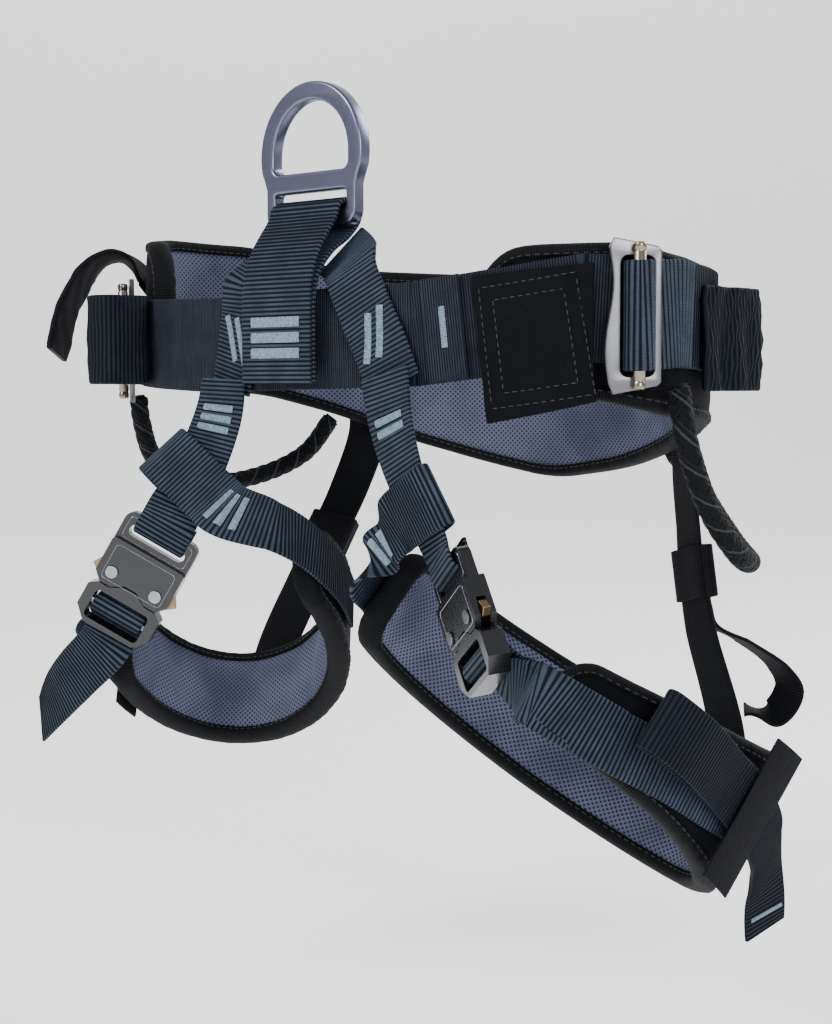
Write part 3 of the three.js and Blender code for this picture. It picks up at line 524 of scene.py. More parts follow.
def section(flat=9, edge=4):
    """Round the band's cross-section once: across from -1 to 1, and -1 for its back to 1 for its front."""
    run = np.linspace(-1, 1, flat)
    turn = np.linspace(90, -90, edge + 2)[1:-1]
    across = np.concatenate([run, np.ones(edge), run[::-1], -np.ones(edge)])
    bulge = np.cos(np.radians(turn))
    beyond = np.concatenate([np.zeros(flat), bulge, np.zeros(flat), -bulge])
    height = np.sin(np.radians(turn))
    through = np.concatenate([np.ones(flat), height, -np.ones(flat), -height])
    return across, beyond, through


def band_skin(name, band, paint, rib=0.14, pitch=RIB_PITCH, crumple=0.0, seed=0):
    """middle + side * across + off * half the thickness, the faces raised and lowered by a cosine along it."""
    across, beyond, through = section()
    half = band.width[:, None] / 2 - band.thick / 2
    sideways = across * half + beyond * band.thick / 2
    ribs = rib * np.cos(2 * np.pi * band.s / pitch)[:, None] * (np.abs(through) > 0.99)
    folds = np.zeros_like(sideways)
    if crumple:
        rng = np.random.default_rng(seed)
        for size in (24, 15, 9):
            a, b, phase = rng.uniform(0.6, 1.2), rng.uniform(-1, 1), rng.uniform(0, 6)
            turns = (a * band.s[:, None] + b * sideways) / size
            folds += crumple * size / 24 * np.sin(2 * np.pi * turns + phase)
    depth = through * (band.thick / 2 + ribs) + folds
    side, off = band.side[:, None], band.off[:, None]
    points = band.middle[:, None] + side * sideways[..., None] + off * depth[..., None]
    rings, sides = sideways.shape
    quads = ring_quads(rings, sides)
    caps = [range(sides)[::-1], range((rings - 1) * sides, rings * sides)]
    uv = np.stack([np.broadcast_to(band.s[:, None], sideways.shape), sideways], axis=-1).reshape(-1, 2)
    return make_mesh(name, points.reshape(-1, 3), quads, paint, uv, caps)


def tube(lines, radius, sides=6, looped=False):
    """Points and squares of round tubes along several lines, each a row of points with a matching side hint."""
    points, quads, ends, count = [], [], [], 0
    turn = np.linspace(0, 2 * np.pi, sides, endpoint=False)
    for line, hint in lines:
        forward = unit(np.gradient(line, axis=0))
        first = unit(hint - forward * np.sum(hint * forward, axis=1, keepdims=True))
        second = np.cross(forward, first)
        around = first[:, None] * np.cos(turn)[:, None] + second[:, None] * np.sin(turn)[:, None]
        points.append((line[:, None] + around * radius).reshape(-1, 3))
        quads.append(ring_quads(len(line), sides, looped) + count)
        last = count + (len(line) - 1) * sides
        ends += [range(count, count + sides)[::-1], range(last, last + sides)]
        count += len(line) * sides
    return np.concatenate(points), np.concatenate(quads), ends


def sew(name, node, lines, radius=0.34, paint=THREAD):
    """Threads drawn as thin tubes, on the body of the part that they are sewn to."""
    points, quads, ends = tube(lines, radius, sides=5)
    return attach(make_mesh(name, points, quads, paint, None, ends), node, hides=False)


def tack(band, s, across, length, slope=0.0, half=1.9, pitch=0.62, face=1):
    """A bar tack: a thread that zigzags tightly across a line of the given length on a band."""
    count = int(length / pitch)
    t = np.repeat(np.linspace(-length / 2, length / 2, count), 3)
    jog = np.tile([-1, 0, 1], count)[: len(t)] * np.where(np.arange(len(t)) // 3 % 2, 1, -1)
    lean = math.radians(slope)
    over = np.where(jog == 0, 0.45, 0.12)
    along = s + t * math.sin(lean) + half * jog * math.cos(lean)
    sideways = across + t * math.cos(lean) - half * jog * math.sin(lean)
    line = band.at(along, sideways, over, face)
    return line, np.broadcast_to(resample(band.s, np.array([s]), band.off)[0], line.shape)


print("a section has", len(section()[0]), "points")


# %% [markdown]
# ## Pads
# Each pad is three sewn layers: black pack cloth outside, foam, and mesh against the body, with tape bound over
# the edge. The foam pushes the mesh out and the binding pinches it, so the face rises quickly from the edge and
# is nearly flat in the middle. The leg pads are creased across, because they are bent round a tighter curve.

# %% The outline of a pad
TAPE = 6.0
FACE = {"shell": (-2.0, -0.4), "foam": (-8.3, -2.4), "lining": (-10.3, -8.7)}
PADS = {
    "waist_pad": dict(
        track=BELT,
        ends=(36, 312),
        radius=22,
        low=[
            (36, -24), (62, -28), (76, -32), (92, -35), (125, -42), (141, -53), (158, -64),
            (177, -71), (192, -64), (209, -53), (228, -37), (244, -27), (270, -24), (312, -22),
        ],
        high=[
            (36, 34), (45, 37), (70, 37.5), (100, 32), (115, 28), (150, 30),
            (180, 35), (199, 38), (225, 42), (246, 54), (270, 56), (300, 53), (312, 51),
        ],
        crease=0.0,
    ),
    "leg_pad_R": dict(
        track=LEG["R"],
        ends=(-46, 174),
        radius=18,
        low=[(-46, -20), (-10, -24), (60, -26), (172, -25)],
        high=[(-46, 20), (-10, 25), (60, 26), (172, 25)],
        crease=0.9,
    ),
    "leg_pad_L": dict(
        track=LEG["L"],
        ends=(-95, 174),
        radius=15,
        low=[(-100, -22), (-50, -26), (-15, -33), (20, -34), (90, -31), (172, -24)],
        high=[(-100, 10), (-80, 14), (-50, 23), (-15, 33), (20, 34), (90, 31), (172, 24)],
        crease=0.7,
    ),
}


def edges_at(pad, degrees):
    """The pad's lower and upper edges, averaged over a few degrees so that they run smoothly."""
    spread = np.linspace(-5, 5, 9)[:, None]
    return [np.mean(np.interp(degrees + spread, *zip(*pad[side])), axis=0) for side in ("low", "high")]


def outline(pad, inset, step=2.0):
    """Places along the pad and its two edges there, inset, with corners rounded as quarter circles."""
    track = pad["track"]
    start, end = (track.along(turn) for turn in pad["ends"])
    start, end = start + inset, end - inset
    corner = pad["radius"] - inset
    turn = 1 - np.cos(np.linspace(0, np.pi / 2, 10))
    inner = np.arange(start + corner + step, end - corner, step)
    s = np.concatenate([start + corner * turn, inner, (end - corner * turn)[::-1]])
    free = np.clip(corner - np.minimum(s - start, end - s), 0, None)
    drop = inset + corner - np.sqrt(np.clip(corner**2 - free**2, 0, None))
    low, high = edges_at(pad, track.angle(s))
    return s, low + drop, high - drop


def pad_grid(pad, inset, rows=40):
    """The pad's face as a grid: places along and across it, and how far each is from the edge."""
    s, low, high = outline(pad, inset)
    share = (1 - np.cos(np.linspace(0, np.pi, rows))) / 2
    across = low[:, None] + (high - low)[:, None] * share
    along = np.broadcast_to(s[:, None], across.shape)
    rim = np.minimum(across - low[:, None], high[:, None] - across)
    rim = np.minimum(rim, np.minimum(s - s[0], s[-1] - s)[:, None])
    return along, across, np.clip(rim, 0, None)


def puff(rim, depth, reach=5.0):
    """Nothing at the rim, rising to depth within a few times reach."""
    return depth * (1 - np.exp(-((rim / reach) ** 1.3)))


def creases(pad, along, across):
    """Shallow facets: a triangle wave along the pad whose ridges lean one way and then the other."""
    lean = along / 26 + 0.35 * np.sin(along / 33) * across / 20
    return pad["crease"] * (2 * np.abs(2 * (lean - np.floor(lean + 0.5))) - 1)


def slab(name, pad, inset, inner, outer, paint):
    """A closed layer: one grid of points inside, one outside, and a wall round the edge."""
    track = pad["track"]
    along, across, rim = pad_grid(pad, inset)
    n, m = along.shape
    faces = [track.place(along, across, out(along, across, rim)) for out in (inner, outer)]
    index = np.arange(n * m).reshape(n, m)
    grid = np.stack([index[:-1, :-1], index[:-1, 1:], index[1:, 1:], index[1:, :-1]], axis=-1).reshape(-1, 4)
    rim_index = np.concatenate([index[0, :-1], index[:-1, -1], index[-1, :0:-1], index[:0:-1, 0]])
    following = np.roll(rim_index, -1)
    wall = np.stack([rim_index, following, following + n * m, rim_index + n * m], axis=-1)
    quads = np.concatenate([grid, grid[:, ::-1] + n * m, wall[:, ::-1]])
    points = np.concatenate([face.reshape(-1, 3) for face in faces])
    uv = np.tile(np.stack([along, across], axis=-1).reshape(-1, 2), (2, 1))
    return make_mesh(name, points, quads, paint, uv)


print("pads:", ", ".join(PADS))


# %% The pads' layers
def level(height):
    """A face at one height all over."""
    return lambda along, across, rim: np.full(rim.shape, float(height))


def mesh_side(pad, height):
    """Towards the body: height, less the puff and the creases, which fade in over 8 mm from the rim."""
    return lambda a, w, rim: height + 0.9 - puff(rim, 2.4) - creases(pad, a, w) * np.clip(rim / 8, 0, 1)


def cloth_side(pad, height):
    """Away from the body: height, a smaller puff, and the same creases at three tenths."""
    return lambda a, w, rim: height - 0.7 + puff(rim, 0.9) + 0.3 * creases(pad, a, w) * np.clip(rim / 8, 0, 1)


def stem_and_tag(key):
    """The first and last parts of the names of a pad's nodes."""
    return (key, "") if key == "waist_pad" else (key[:-2], key[-2:])


for key, pad in PADS.items():
    stem, tag = stem_and_tag(key)
    inner, outer = FACE["lining"]
    lining = slab(f"{key}_mesh_face", pad, TAPE - 1.5, mesh_side(pad, inner), level(outer), MESH)
    inner, outer = FACE["shell"]
    shell = slab(f"{key}_outer_cloth", pad, TAPE - 1.5, level(inner), cloth_side(pad, outer), PACK_CLOTH)
    inner, outer = FACE["foam"]
    foam = slab(f"{key}_foam_core", pad, TAPE + 0.4, level(inner), level(outer), PACK_CLOTH)
    for layer, piece in (("lining", lining), ("shell", shell), ("foam", foam)):
        attach(piece, f"{stem}_{layer}{tag}")
    print(key, len(lining.data.polygons), "faces on its mesh")


# %% [markdown]
# ## Edge tape
# A folded tape is carried round the pad's outline. Its section is a rounded U, and it puckers slightly between
# stitches, so the height of its faces is varied with a few waves along the edge.

# %% Edge tape and its stitches
def edge_loop(pad, step=1.4):
    """The pad's outline as a closed line in (along, across), and the direction inwards at each place."""
    s, low, high = outline(pad, 0.0, step=1.5)
    line = np.concatenate([np.stack([s, low], 1), np.stack([s, high], 1)[::-1]])
    keep = np.linalg.norm(np.diff(line, axis=0, append=line[:1]), axis=1) > 1e-6
    line = line[keep]
    closed = np.concatenate([line, line[:1]])
    lengths, wanted = even_steps(closed, step)
    even = resample(lengths, wanted, closed)[:-1]
    forward = unit(np.roll(even, -2, axis=0) - np.roll(even, 2, axis=0))
    inward = np.stack([-forward[:, 1], forward[:, 0]], axis=1)
    return wanted[:-1], even, inward


def tape_section():
    """Round a folded tape once: millimetres in from the edge, and height from the inner to the outer face."""
    turn = np.radians(np.linspace(-90, 90, 7))
    inset = np.concatenate([[TAPE, TAPE / 2 + 1], 2.6 - 2.6 * np.cos(turn), [TAPE / 2 + 1, TAPE]])
    height = np.concatenate([[-1, -1], np.sin(turn), [1, 1]])
    return inset, height


def pad_tape(key, pad, node):
    """The section carried round the outline, its height swelling in a few waves, and its two stitch lines."""
    length, even, inward = edge_loop(pad)
    inset, height = tape_section()
    rng = np.random.default_rng(len(key))
    pucker = sum(0.16 * np.sin(length * 2 * np.pi / size + rng.uniform(0, 6)) for size in (31, 13, 7.3))
    half = 5.2 + pucker[:, None] * 0.7
    out = -5.6 + height * (half + 0.35 * (inset < TAPE - 0.5))
    place = even[:, None] + inward[:, None] * inset[:, None]
    points = pad["track"].place(place[..., 0], place[..., 1], out)
    rings, sides = out.shape
    around = np.cumsum(np.hypot(np.diff(inset, prepend=inset[0]), np.diff(height * 5.2, prepend=-5.2)))
    uv = np.stack(np.broadcast_arrays(length[:, None], around), axis=-1).reshape(-1, 2)
    skin = make_mesh(f"{key}_edge_tape", points.reshape(-1, 3), ring_quads(rings, sides, True), BINDING, uv)
    attach(skin, node)
    stitches = []
    for out_face, lift in ((-11.2, -1), (-0.1, 1)):
        picks = np.arange(0, len(length) - 3, 3)
        spot = (even + inward * (TAPE - 1.4))[picks]
        onward = (even + inward * (TAPE - 1.4))[picks + 2]
        t = np.linspace(0, 1, 4)[None, :, None]
        run = spot[:, None] * (1 - t) + onward[:, None] * t
        rise = out_face + lift * np.array([-0.25, 0.12, 0.12, -0.25])
        lines = pad["track"].place(run[..., 0], run[..., 1], np.broadcast_to(rise, run.shape[:2]))
        hint = pad["track"].outward(pad["track"].angle(run[..., 0]))
        stitches += list(zip(lines, hint))
    sew(f"{key}_edge_stitches", node, stitches, 0.3, BLACK_THREAD)
    print(key, "tape is", round(length[-1]), "mm long, with", len(stitches), "stitches")


for key, pad in PADS.items():
    stem, tag = stem_and_tag(key)
    pad_tape(key, pad, f"{stem}_binding{tag}")


# %% [markdown]
# ## The waist belt's webbing
# The front webbing, its lap and the panel lie on the belt's track. The rear webbing runs along the outside of
# the pad and is threaded round each adjuster's bar. The free tails are rolled up and kept by a tab.

# %% Belt webbing
WIDE, STRAP, THICK, THIN = 45.0, 29.0, 2.2, 1.8
BELT_RISE = [(-180, 4), (-60, 0), (-20, -3), (25, 0), (60, 10), (110, 6), (180, 4)]
BELT_LOW = [(turn, z - WIDE / 2) for turn, z in BELT_RISE]
BELT_HIGH = [(turn, z + WIDE / 2) for turn, z in BELT_RISE]
ADJUSTER_TURN = {"L": 73, "R": -65}
ADJUSTER_HEIGHT = {"L": 6.3, "R": 1}
ADJUSTER_OUT = 7.5


def dress(node, band, paint=WEBBING, **looks):
    """A band's skin standing for one part of the frame."""
    return attach(band_skin(f"{node}_woven", band, paint, **looks), node)


front_belt = strip(BELT, -60, 68, BELT_LOW, BELT_HIGH, 0, THICK)
dress("front_belt_webbing", front_belt, BELT_WEBBING, rib=0.06, pitch=2.4, crumple=0.25, seed=2)
lap = strip(BELT, 28, 35, BELT_LOW, BELT_HIGH, THICK + 0.4, THICK)
dress("belt_lap_webbing", lap, BELT_WEBBING, rib=0.06, pitch=2.4)


def rear_webbing():
    """Round the back of the pad, with each end carried round its adjuster's bar to lie on itself."""
    middle = [(73, 6.3), (90, 8), (110, 6), (180, 4), (270, 0), (295, 1)]
    wrap = [
        (27, 4.1), (20, 4.1), (12, 4.1), (7.6, 4), (5.2, 4.9), (4.3, 7), (4.1, 11.9), (2.9, 14.8), (0, 16),
        (-2.9, 14.8), (-4.1, 11.9), (-4, 7), (-3.4, 4.6), (-1, 2.3), (3, 1.5), (9, 1.4),
    ]
    left, right = BELT.along(ADJUSTER_TURN["L"]), BELT.along(360 + ADJUSTER_TURN["R"])
    between = np.arange(left + 14, right - 12, 12.0)
    s = np.concatenate([[left + a for a, _ in wrap], between, [right - a for a, _ in wrap[::-1]]])
    out = np.concatenate([[o for _, o in wrap], np.full(len(between), 1.4), [o for _, o in wrap[::-1]]])
    points = BELT.place(s, np.interp(BELT.angle(s), *zip(*middle)), out)
    return ribbon(points, [(0, 0, 1)] * len(points), WIDE, THICK)


rear_belt = rear_webbing()
dress("rear_belt_webbing", rear_belt, WEBBING)
print("rear webbing is", round(rear_belt.length), "mm long")

# %% Rolled tails, tab and its label
def roll(tag, degrees, height, offsets, **looks):
    """A free tail: a smooth line through places given by degrees along the belt and millimetres off it."""
    points = np.array([BELT.at(degrees + turn, height, out) for turn, out in offsets])
    band = ribbon(points, [(0, 0, 1)] * len(points), WIDE, 2.6)
    # The rolled tail wears the strap webbing with painted shade, for the shadow it hangs in.
    dress(f"belt_tail_roll_{tag}", band, PAINTED_SHADE_WEBBING, **looks)
    return band


LEFT_ROLL = [(2, 6), (8, 8), (13, 13), (17, 18.5), (20, 18), (19, 12), (14, 7.4), (9, 4.4)]
RIGHT_ROLL = [
    (-4, 4.4), (1, 4.6), (4, 8), (4.8, 16), (4.4, 26), (1.5, 32), (-1.5, 31.5), (-3.4, 26), (-3.4, 16),
    (-2.4, 10), (0, 9.6), (1.2, 13),
]
roll("L", 96, -2, LEFT_ROLL, crumple=1.5, seed=4)
roll("R", -51.5, 1, RIGHT_ROLL, crumple=0.35, seed=5)

TAB_ROUTE = [(-84, 30, 3.4), (-81, 38, 7), (-75, 44, 14), (-69, 41, 25), (-64.5, 22, 38.5), (-62, -6, 46.5)]
tab_points = np.array([BELT.at(*place) for place in TAB_ROUTE])
tab = ribbon(tab_points, [(0.48, -0.87, 0)] * len(tab_points), 25, 3)
dress("id_tab", tab, ELASTIC, rib=0.05, pitch=1.1, crumple=0.3, seed=6)


def patch(name, node, band, s0, s1, half, lift, thick, paint, face=1):
    """A thin piece of cloth lying on part of a band."""
    s = np.arange(s0, s1, 0.8)
    centre = band.at(s, 0, lift + thick / 2, face)
    sheet = Band(s - s0, centre, resample(band.s, s, band.side), np.full(len(s), 2.0 * half), thick)
    return attach(band_skin(name, sheet, paint, rib=0.0), node, hides=False)


TAB_FACE = 1 if np.dot(tab.off[-1], BELT.outward(-62)) > 0 else -1
patch("id_label", "id_tab", tab, tab.length - 42, tab.length - 6, 10, 0.05, 0.7, LABEL, TAB_FACE)
label_edges = [tack(tab, tab.length - s, a, 20, face=TAB_FACE) for s, a in ((44, 0), (4, 0))]
sew("id_label_sewing", "id_tab", label_edges)
print("rolled tails and tab are made")

# %% [markdown]
# ## Panel, straps at the front and their tacks
# A bar tack is one thread zigzagging so tightly that it becomes a solid bar. It is what holds a load-bearing
# joint, and it is sewn in a pale thread here so that wear can be seen.

# %% Side panel
side_panel = strip(
    BELT, 38, 62, [(37, -38.5), (61, -28.5)], [(37, 24), (61, 28)], THICK + 0.4, 3.2, lean=-0.14, step=0.8
)
attach(band_skin("side_panel_cloth", side_panel, PACK_CLOTH, rib=0.0, crumple=0.35, seed=8), "side_panel")


def dashes(band, corners, lift=0.1, length=2.4, gap=1.1, face=1):
    """A running stitch along straight lines between corners on a band, each dash dipping at its ends."""
    runs = []
    for (s0, a0), (s1, a1) in zip(corners[:-1], corners[1:]):
        span = math.hypot(s1 - s0, a1 - a0)
        starts = np.arange(0, span - length, length + gap)[:, None] / span
        t = starts + np.linspace(0, length / span, 4)
        for row in t:
            rise = lift + np.array([-0.3, 0.12, 0.12, -0.3])
            line = band.at(s0 + (s1 - s0) * row, a0 + (a1 - a0) * row, rise, face)
            runs.append((line, np.broadcast_to(band.off[int(len(band.s) / 2)], line.shape)))
    return runs


def box_of(band, inset, drop=0.0):
    """The corners of a rectangle on a band, inset from its edges."""
    a = float(np.min(band.width)) / 2 - inset
    s0, s1 = inset + drop, band.length - inset
    return [(s0, -a), (s1, -a), (s1, a), (s0, a), (s0, -a)]


panel_runs = dashes(side_panel, box_of(side_panel, 3.2)) + dashes(side_panel, box_of(side_panel, 9))
sew("side_panel_sewing", "side_panel", panel_runs, 0.3, BLACK_THREAD)
sew("lap_tack", "belt_lap_webbing", [tack(lap, lap.length / 2, 1, 17, slope=0, half=1.3)])
print("side panel and lap are sewn")

# %% Tie-in strap and yoke straps
RING = dict(axis=54.0, y=-47.0, thick=7.0, crown=83.4, outer=33.0, inner=24.5, half_base=29.0, bar=3.95)


def centre_route():
    """Up the belt's front, round the ring's bar on a 7.6 mm circle, and down behind: places as (y, z)."""
    z, y = RING["axis"], RING["y"]
    return [
        (-71.3, -21), (-71.3, 2), (-71, 17), (-69.4, 29), (-64.6, 40),
        (y - 7.6, z), (y - 5.4, z + 5.4), (y, z + 7.6), (y + 5.4, z + 5.4), (y + 7.6, z),
        (-45.6, 46), (-57.2, 38), (-65.6, 28), (-68.5, 17), (-68.7, 5), (-68.7, -20),
    ]


centre_points = [(0, y, z) for y, z in centre_route()]
centre = ribbon(centre_points, [(1, 0, 0)] * len(centre_points), WIDE, THICK)
dress("centre_strap", centre, WEBBING, rib=0.17)
CENTRE_FACE = 1 if centre.off[5][1] < 0 else -1
centre_tacks = [tack(centre, s, 0.5, 31, half=2.2, face=CENTRE_FACE) for s in (13.5, 20.5, 27.5)]
sew("centre_strap_tacks", "centre_strap", centre_tacks)

YOKE = {
    "R": [
        (-8.5, 41, -15), (-9.4, 34, -7), (-10.4, 28, 0), (-11, 24, 3.2), (-11.6, 10, 3.7), (-12.9, -6, 3.7),
        (-14.4, -24, 3.7),
    ],
    "L": [
        (6.5, 38.5, -12), (10, 34.5, -6), (12.6, 30.5, 1), (13.6, 26, 3.8), (16, 12, 4.2), (19, -4, 4.2),
        (21.8, -22, 4.2),
    ],
}
LEAN = {"R": -0.25, "L": 0.36}


def yoke(tag):
    """A strap from the ring's strap down over the belt, leaning outwards, with two slanting tacks."""
    points = np.array([BELT.at(*place) for place in YOKE[tag]])
    lean = (0, 0, LEAN[tag])
    across = [np.cross((0, 0, 1), BELT.outward(turn)) + lean for turn, *_ in YOKE[tag]]
    band = ribbon(points, across, STRAP, THIN)
    dress(f"yoke_strap_{tag}", band, WEBBING)
    face = 1 if band.off[len(band.s) // 2][1] < 0 else -1
    middle = band.length - 24
    slope = 62 if tag == "R" else -62
    lines = [tack(band, middle, a, 22, slope=slope, half=1.7, face=face) for a in (-3.6, 3.6)]
    sew(f"yoke_tacks_{tag}", f"yoke_strap_{tag}", lines)
    return band


YOKES = {tag: yoke(tag) for tag in "RL"}
print("yoke straps are", [round(band.length) for band in YOKES.values()], "mm long")

# %% [markdown]
# ## Leg straps
# Every strap on a leg loop is a band along a given route: the riser down from the yoke and through the
# buckle, the inner strap sewn round the riser, the outer strap round the tongue's bar, and the elastic riser at
# the back. The risers cross the joint where the leg loop swings, so where each would bend between the two
# bodies is noted.

# %% Buckle frames and risers
class Axes:
    """A buckle's own axes: across it, up along its strap, and out of its face."""

    def __init__(self, at, across, out):
        out = unit(vec(*out))
        across = vec(*across)
        self.at, self.z = vec(*at), out
        self.x = unit(across - out * across.dot(out))
        self.y = np.cross(self.z, self.x)

    def place(self, a, b, c):
        return self.at + self.x * a + self.y * b + self.z * c


BUCKLE = {
    "R": Axes((-64, -102, -114), (0.66, 0.56, -0.5), (0.62, -0.78, -0.05)),
    "L": Axes((110.2, -63.7, -122), (0.757, -0.416, 0.5), (-0.416, -0.9, -0.12)),
}
RISER = {
    "R": [(-42, -65.9, -19), (-42.5, -69, -35), (-44, -76, -53), (-46, -84.5, -69), (-47.2, -91, -78)],
    "L": [(61, -64.4, -17), (66, -66, -36), (73, -67, -54), (80, -66.5, -69), (85.5, -65, -80)],
}
THREADED = [
    (34, 4.2), (30, 4.3), (25.8, 4.4), (23, 3.2), (21.8, 0), (23, -3.2), (25.8, -4.4), (30, -4.3), (34.5, -4.4),
]


def riser(tag):
    """Down from the yoke and round the bar of the buckle body, narrowing by 3 mm on the way."""
    buckle = BUCKLE[tag]
    points = [vec(*p) for p in RISER[tag]] + [buckle.place(0, y, z) for y, z in THREADED]
    top = vec(1, 0, LEAN[tag])
    turn = np.minimum(1, np.arange(len(points)) / 5)[:, None]
    width = STRAP - 3 * np.minimum(1, np.arange(len(points)) / 3)
    BENDS[f"leg_riser_{tag}"] = ("waist_belt", f"leg_loop_{tag}", points[1] * MM, points[3] * MM)
    band = ribbon(points, top * (1 - turn) + buckle.x * turn, width, THIN)
    dress(f"leg_riser_{tag}", band, WEBBING)
    face = 1 if band.off[40][1] < 0 else -1
    lines = [tack(band, s, 0, 17, half=1.5, face=face) for s in ((14, 19, 24) if tag == "R" else (20, 25))]
    sew(f"riser_tacks_{tag}", f"leg_riser_{tag}", lines)
    return band


RISERS = {tag: riser(tag) for tag in "RL"}
print("risers are", [round(band.length) for band in RISERS.values()], "mm long")

# %% Inner straps
INNER = {
    "R": dict(
        middle=(-45.6, -82.7, -66),
        run=(0.755, 0.196, -0.615),
        face=(0.52, -0.74, 0.405),
        sleeve=[(15, -5.8), (0, -5.8), (-17, -5.6), (-22.4, 0), (-17, 5.6), (0, 5.8), (15, 5.8)],
        free=[(-19, -84, -79)],
        on_pad=[(-66, 1, 3.5), (-52, 1, 2.2), (-38, 0, 1.8), (-24, 0, 1.8), (-10, 0, 1.8)],
    ),
    "L": dict(
        middle=(82.7, -65.8, -74.5),
        run=(-0.9, 0.3, -0.45),
        face=(-0.2, -0.95, -0.23),
        sleeve=[(17, -4.4), (0, -4.1), (-14, -3.4), (-18, 0), (-14, 3.5), (0, 4.3), (16, 4)],
        free=[(61, -62.5, -91)],
        on_pad=[(180, 3, 6), (166, 2, 2.6), (152, 0, 1.8), (138, 0, 1.8), (124, 0, 1.8)],
    ),
}


def inner_strap(tag):
    """A sleeve folded round the riser, then across to the leg pad. A place in the sleeve is
    middle + along * a + off * f, and the across direction turns evenly from the sleeve's to the pad's."""
    spec, track = INNER[tag], LEG[tag]
    along = unit(vec(*spec["run"]))
    off = vec(*spec["face"])
    off = unit(off - along * off.dot(along))
    middle = vec(*spec["middle"])
    loop = [middle + along * a + off * f for a, f in spec["sleeve"]]
    free = [vec(*p) for p in spec["free"]]
    points = loop + free + [track.at(*place) for place in spec["on_pad"]]
    first = np.cross(along, off)
    first = -first if first.dot(track.up) < 0 else first
    part = np.clip((np.arange(len(points)) - len(loop) + 1) / (len(free) + 1), 0, 1)[:, None]
    band = ribbon(points, first * (1 - part) + track.up * part, 28, THIN)
    dress(f"leg_strap_inner_{tag}", band, WEBBING)
    sleeve = 68 if tag == "R" else 66
    face = 1 if band.off[int(np.searchsorted(band.s, sleeve))].dot(off) > 0 else -1
    rows = (88, 94, 100) if tag == "R" else (84, 89)
    lines = [tack(band, s, 0, 17, half=1.5, face=face) for s in rows]
    sew(f"inner_strap_tacks_{tag}", f"leg_strap_inner_{tag}", lines)
    return band


INNERS = {tag: inner_strap(tag) for tag in "RL"}
print("inner straps are", [round(band.length) for band in INNERS.values()], "mm long")

# %% Outer straps
BAR_TURN = [(-12.9, -2.5), (-13.4, 1.6), (-15.2, 3.5), (-17.4, 3.9), (-19.9, 2.8), (-21.4, 0), (-21.6, -3)]
OUTER = {
    "R": dict(
        twist=6,
        bar=(
            [(0, -38, -11), (0, -28, -11.5), (0, -19, -9.5), (0, -14.2, -6.5)],
            [(0, -22.6, -6.3), (0, -28, -8.3), (0, -36, -8)],
        ),
        start=(-99, -101, -151),
        before=[(176, -9, 5.8), (164, -8, 2.8), (150, -6, 1.9), (136, -5, 1.8), (122, -4, 1.8)],
        free_end=[(-101, -108, -159), (-115, -108, -170), (-127, -106, -179), (-137, -104, -187)],
        after=[],
    ),
    "L": dict(
        twist=4,
        bar=(
            [(9, -37, -13), (1.5, -28, -12), (0, -19, -9.5), (0, -14.2, -6.5)],
            [(0, -22.6, -6.3), (2, -28.5, -8.6), (10, -36, -9.5)],
        ),
        start=None,
        before=[
            (-96, -14, 4.8), (-86, -13, 3.2), (-74, -11, 2.4), (-58, -7, 1.7), (-40, -4, 1.5),
            (-20, 0, 1.5), (0, 0, 1.5), (15, 0, 1.5),
        ],
        free_end=[],
        after=[(-96, -14, 7.8), (-85, -13, 6), (-75, -11.5, 5.2)],
    ),
}


def outer_strap(tag):
    """Along the leg pad, up and round the tongue's bar, and back. It keeps the buckle's across direction there,
    and turns to the pad's over a few points on each side."""
    spec, track, buckle = OUTER[tag], LEG[tag], BUCKLE[tag]
    before = [vec(*spec["start"])] if spec["start"] else []
    before = (before + [track.at(*place) for place in spec["before"]])[::-1]
    turn = [(0, y, z) for y, z in BAR_TURN]
    threaded = [buckle.place(*p) for p in [*spec["bar"][0], *turn, *spec["bar"][1]]]
    after = [vec(*p) for p in spec["free_end"]] + [track.at(*place) for place in spec["after"]]
    points = before + threaded + after
    pad_side = track.up * np.sign(track.up.dot(buckle.x))
    first = len(before) + len(spec["bar"][0])
    last = first + len(BAR_TURN) - 1
    order = np.arange(len(points))
    part = np.clip((np.maximum(first - order, order - last) - 2) / spec["twist"], 0, 1)[:, None]
    BENDS[f"leg_strap_outer_{tag}"] = (
        f"leg_loop_{tag}",
        f"tongue_{tag}",
        buckle.place(0, -58, -8) * MM,
        buckle.place(0, -26, -4) * MM,
    )
    band = ribbon(points, buckle.x * (1 - part) + pad_side * part, 26, THIN)
    dress(f"leg_strap_outer_{tag}", band, WEBBING)
    return band


OUTERS = {tag: outer_strap(tag) for tag in "RL"}
print("outer straps are", [round(band.length) for band in OUTERS.values()], "mm long")

# %% Folded tail and elastic keepers
TAIL = [
    (4, 2, 4), (-8, 2, 4), (-20, 3, 4), (-36, 4, 4.2), (-46, 4, 5.4), (-56, 4, 8.6), (-65, 4, 13),
    (-72, 3, 18), (-71, 3, 22.5), (-62, 3, 21.5), (-54, 3, 15.5), (-48, 3, 10.5), (-43, 3, 7.6),
    (-36, 2, 6.9), (-27, 1.5, 6.8), (-18, 0, 7), (-8, -2, 9), (4, -4, 13.5),
]
TAIL_END = [(172, 68, -246), (168, 75, -270)]
tail_points = [LEG["L"].at(*place) for place in TAIL] + [vec(*p) for p in TAIL_END]
tail = ribbon(tail_points, [LEG["L"].up] * len(tail_points), 27, THIN)
# The folded tail wears the strap webbing with painted shade, for the shadow it hangs in.
dress("leg_strap_tail_L", tail, PAINTED_SHADE_WEBBING)
hem = [tack(tail, tail.length - 9, 0, 20, half=0.8, face=face) for face in (1, -1)]
sew("tail_hem_sewing", "leg_strap_tail_L", hem)

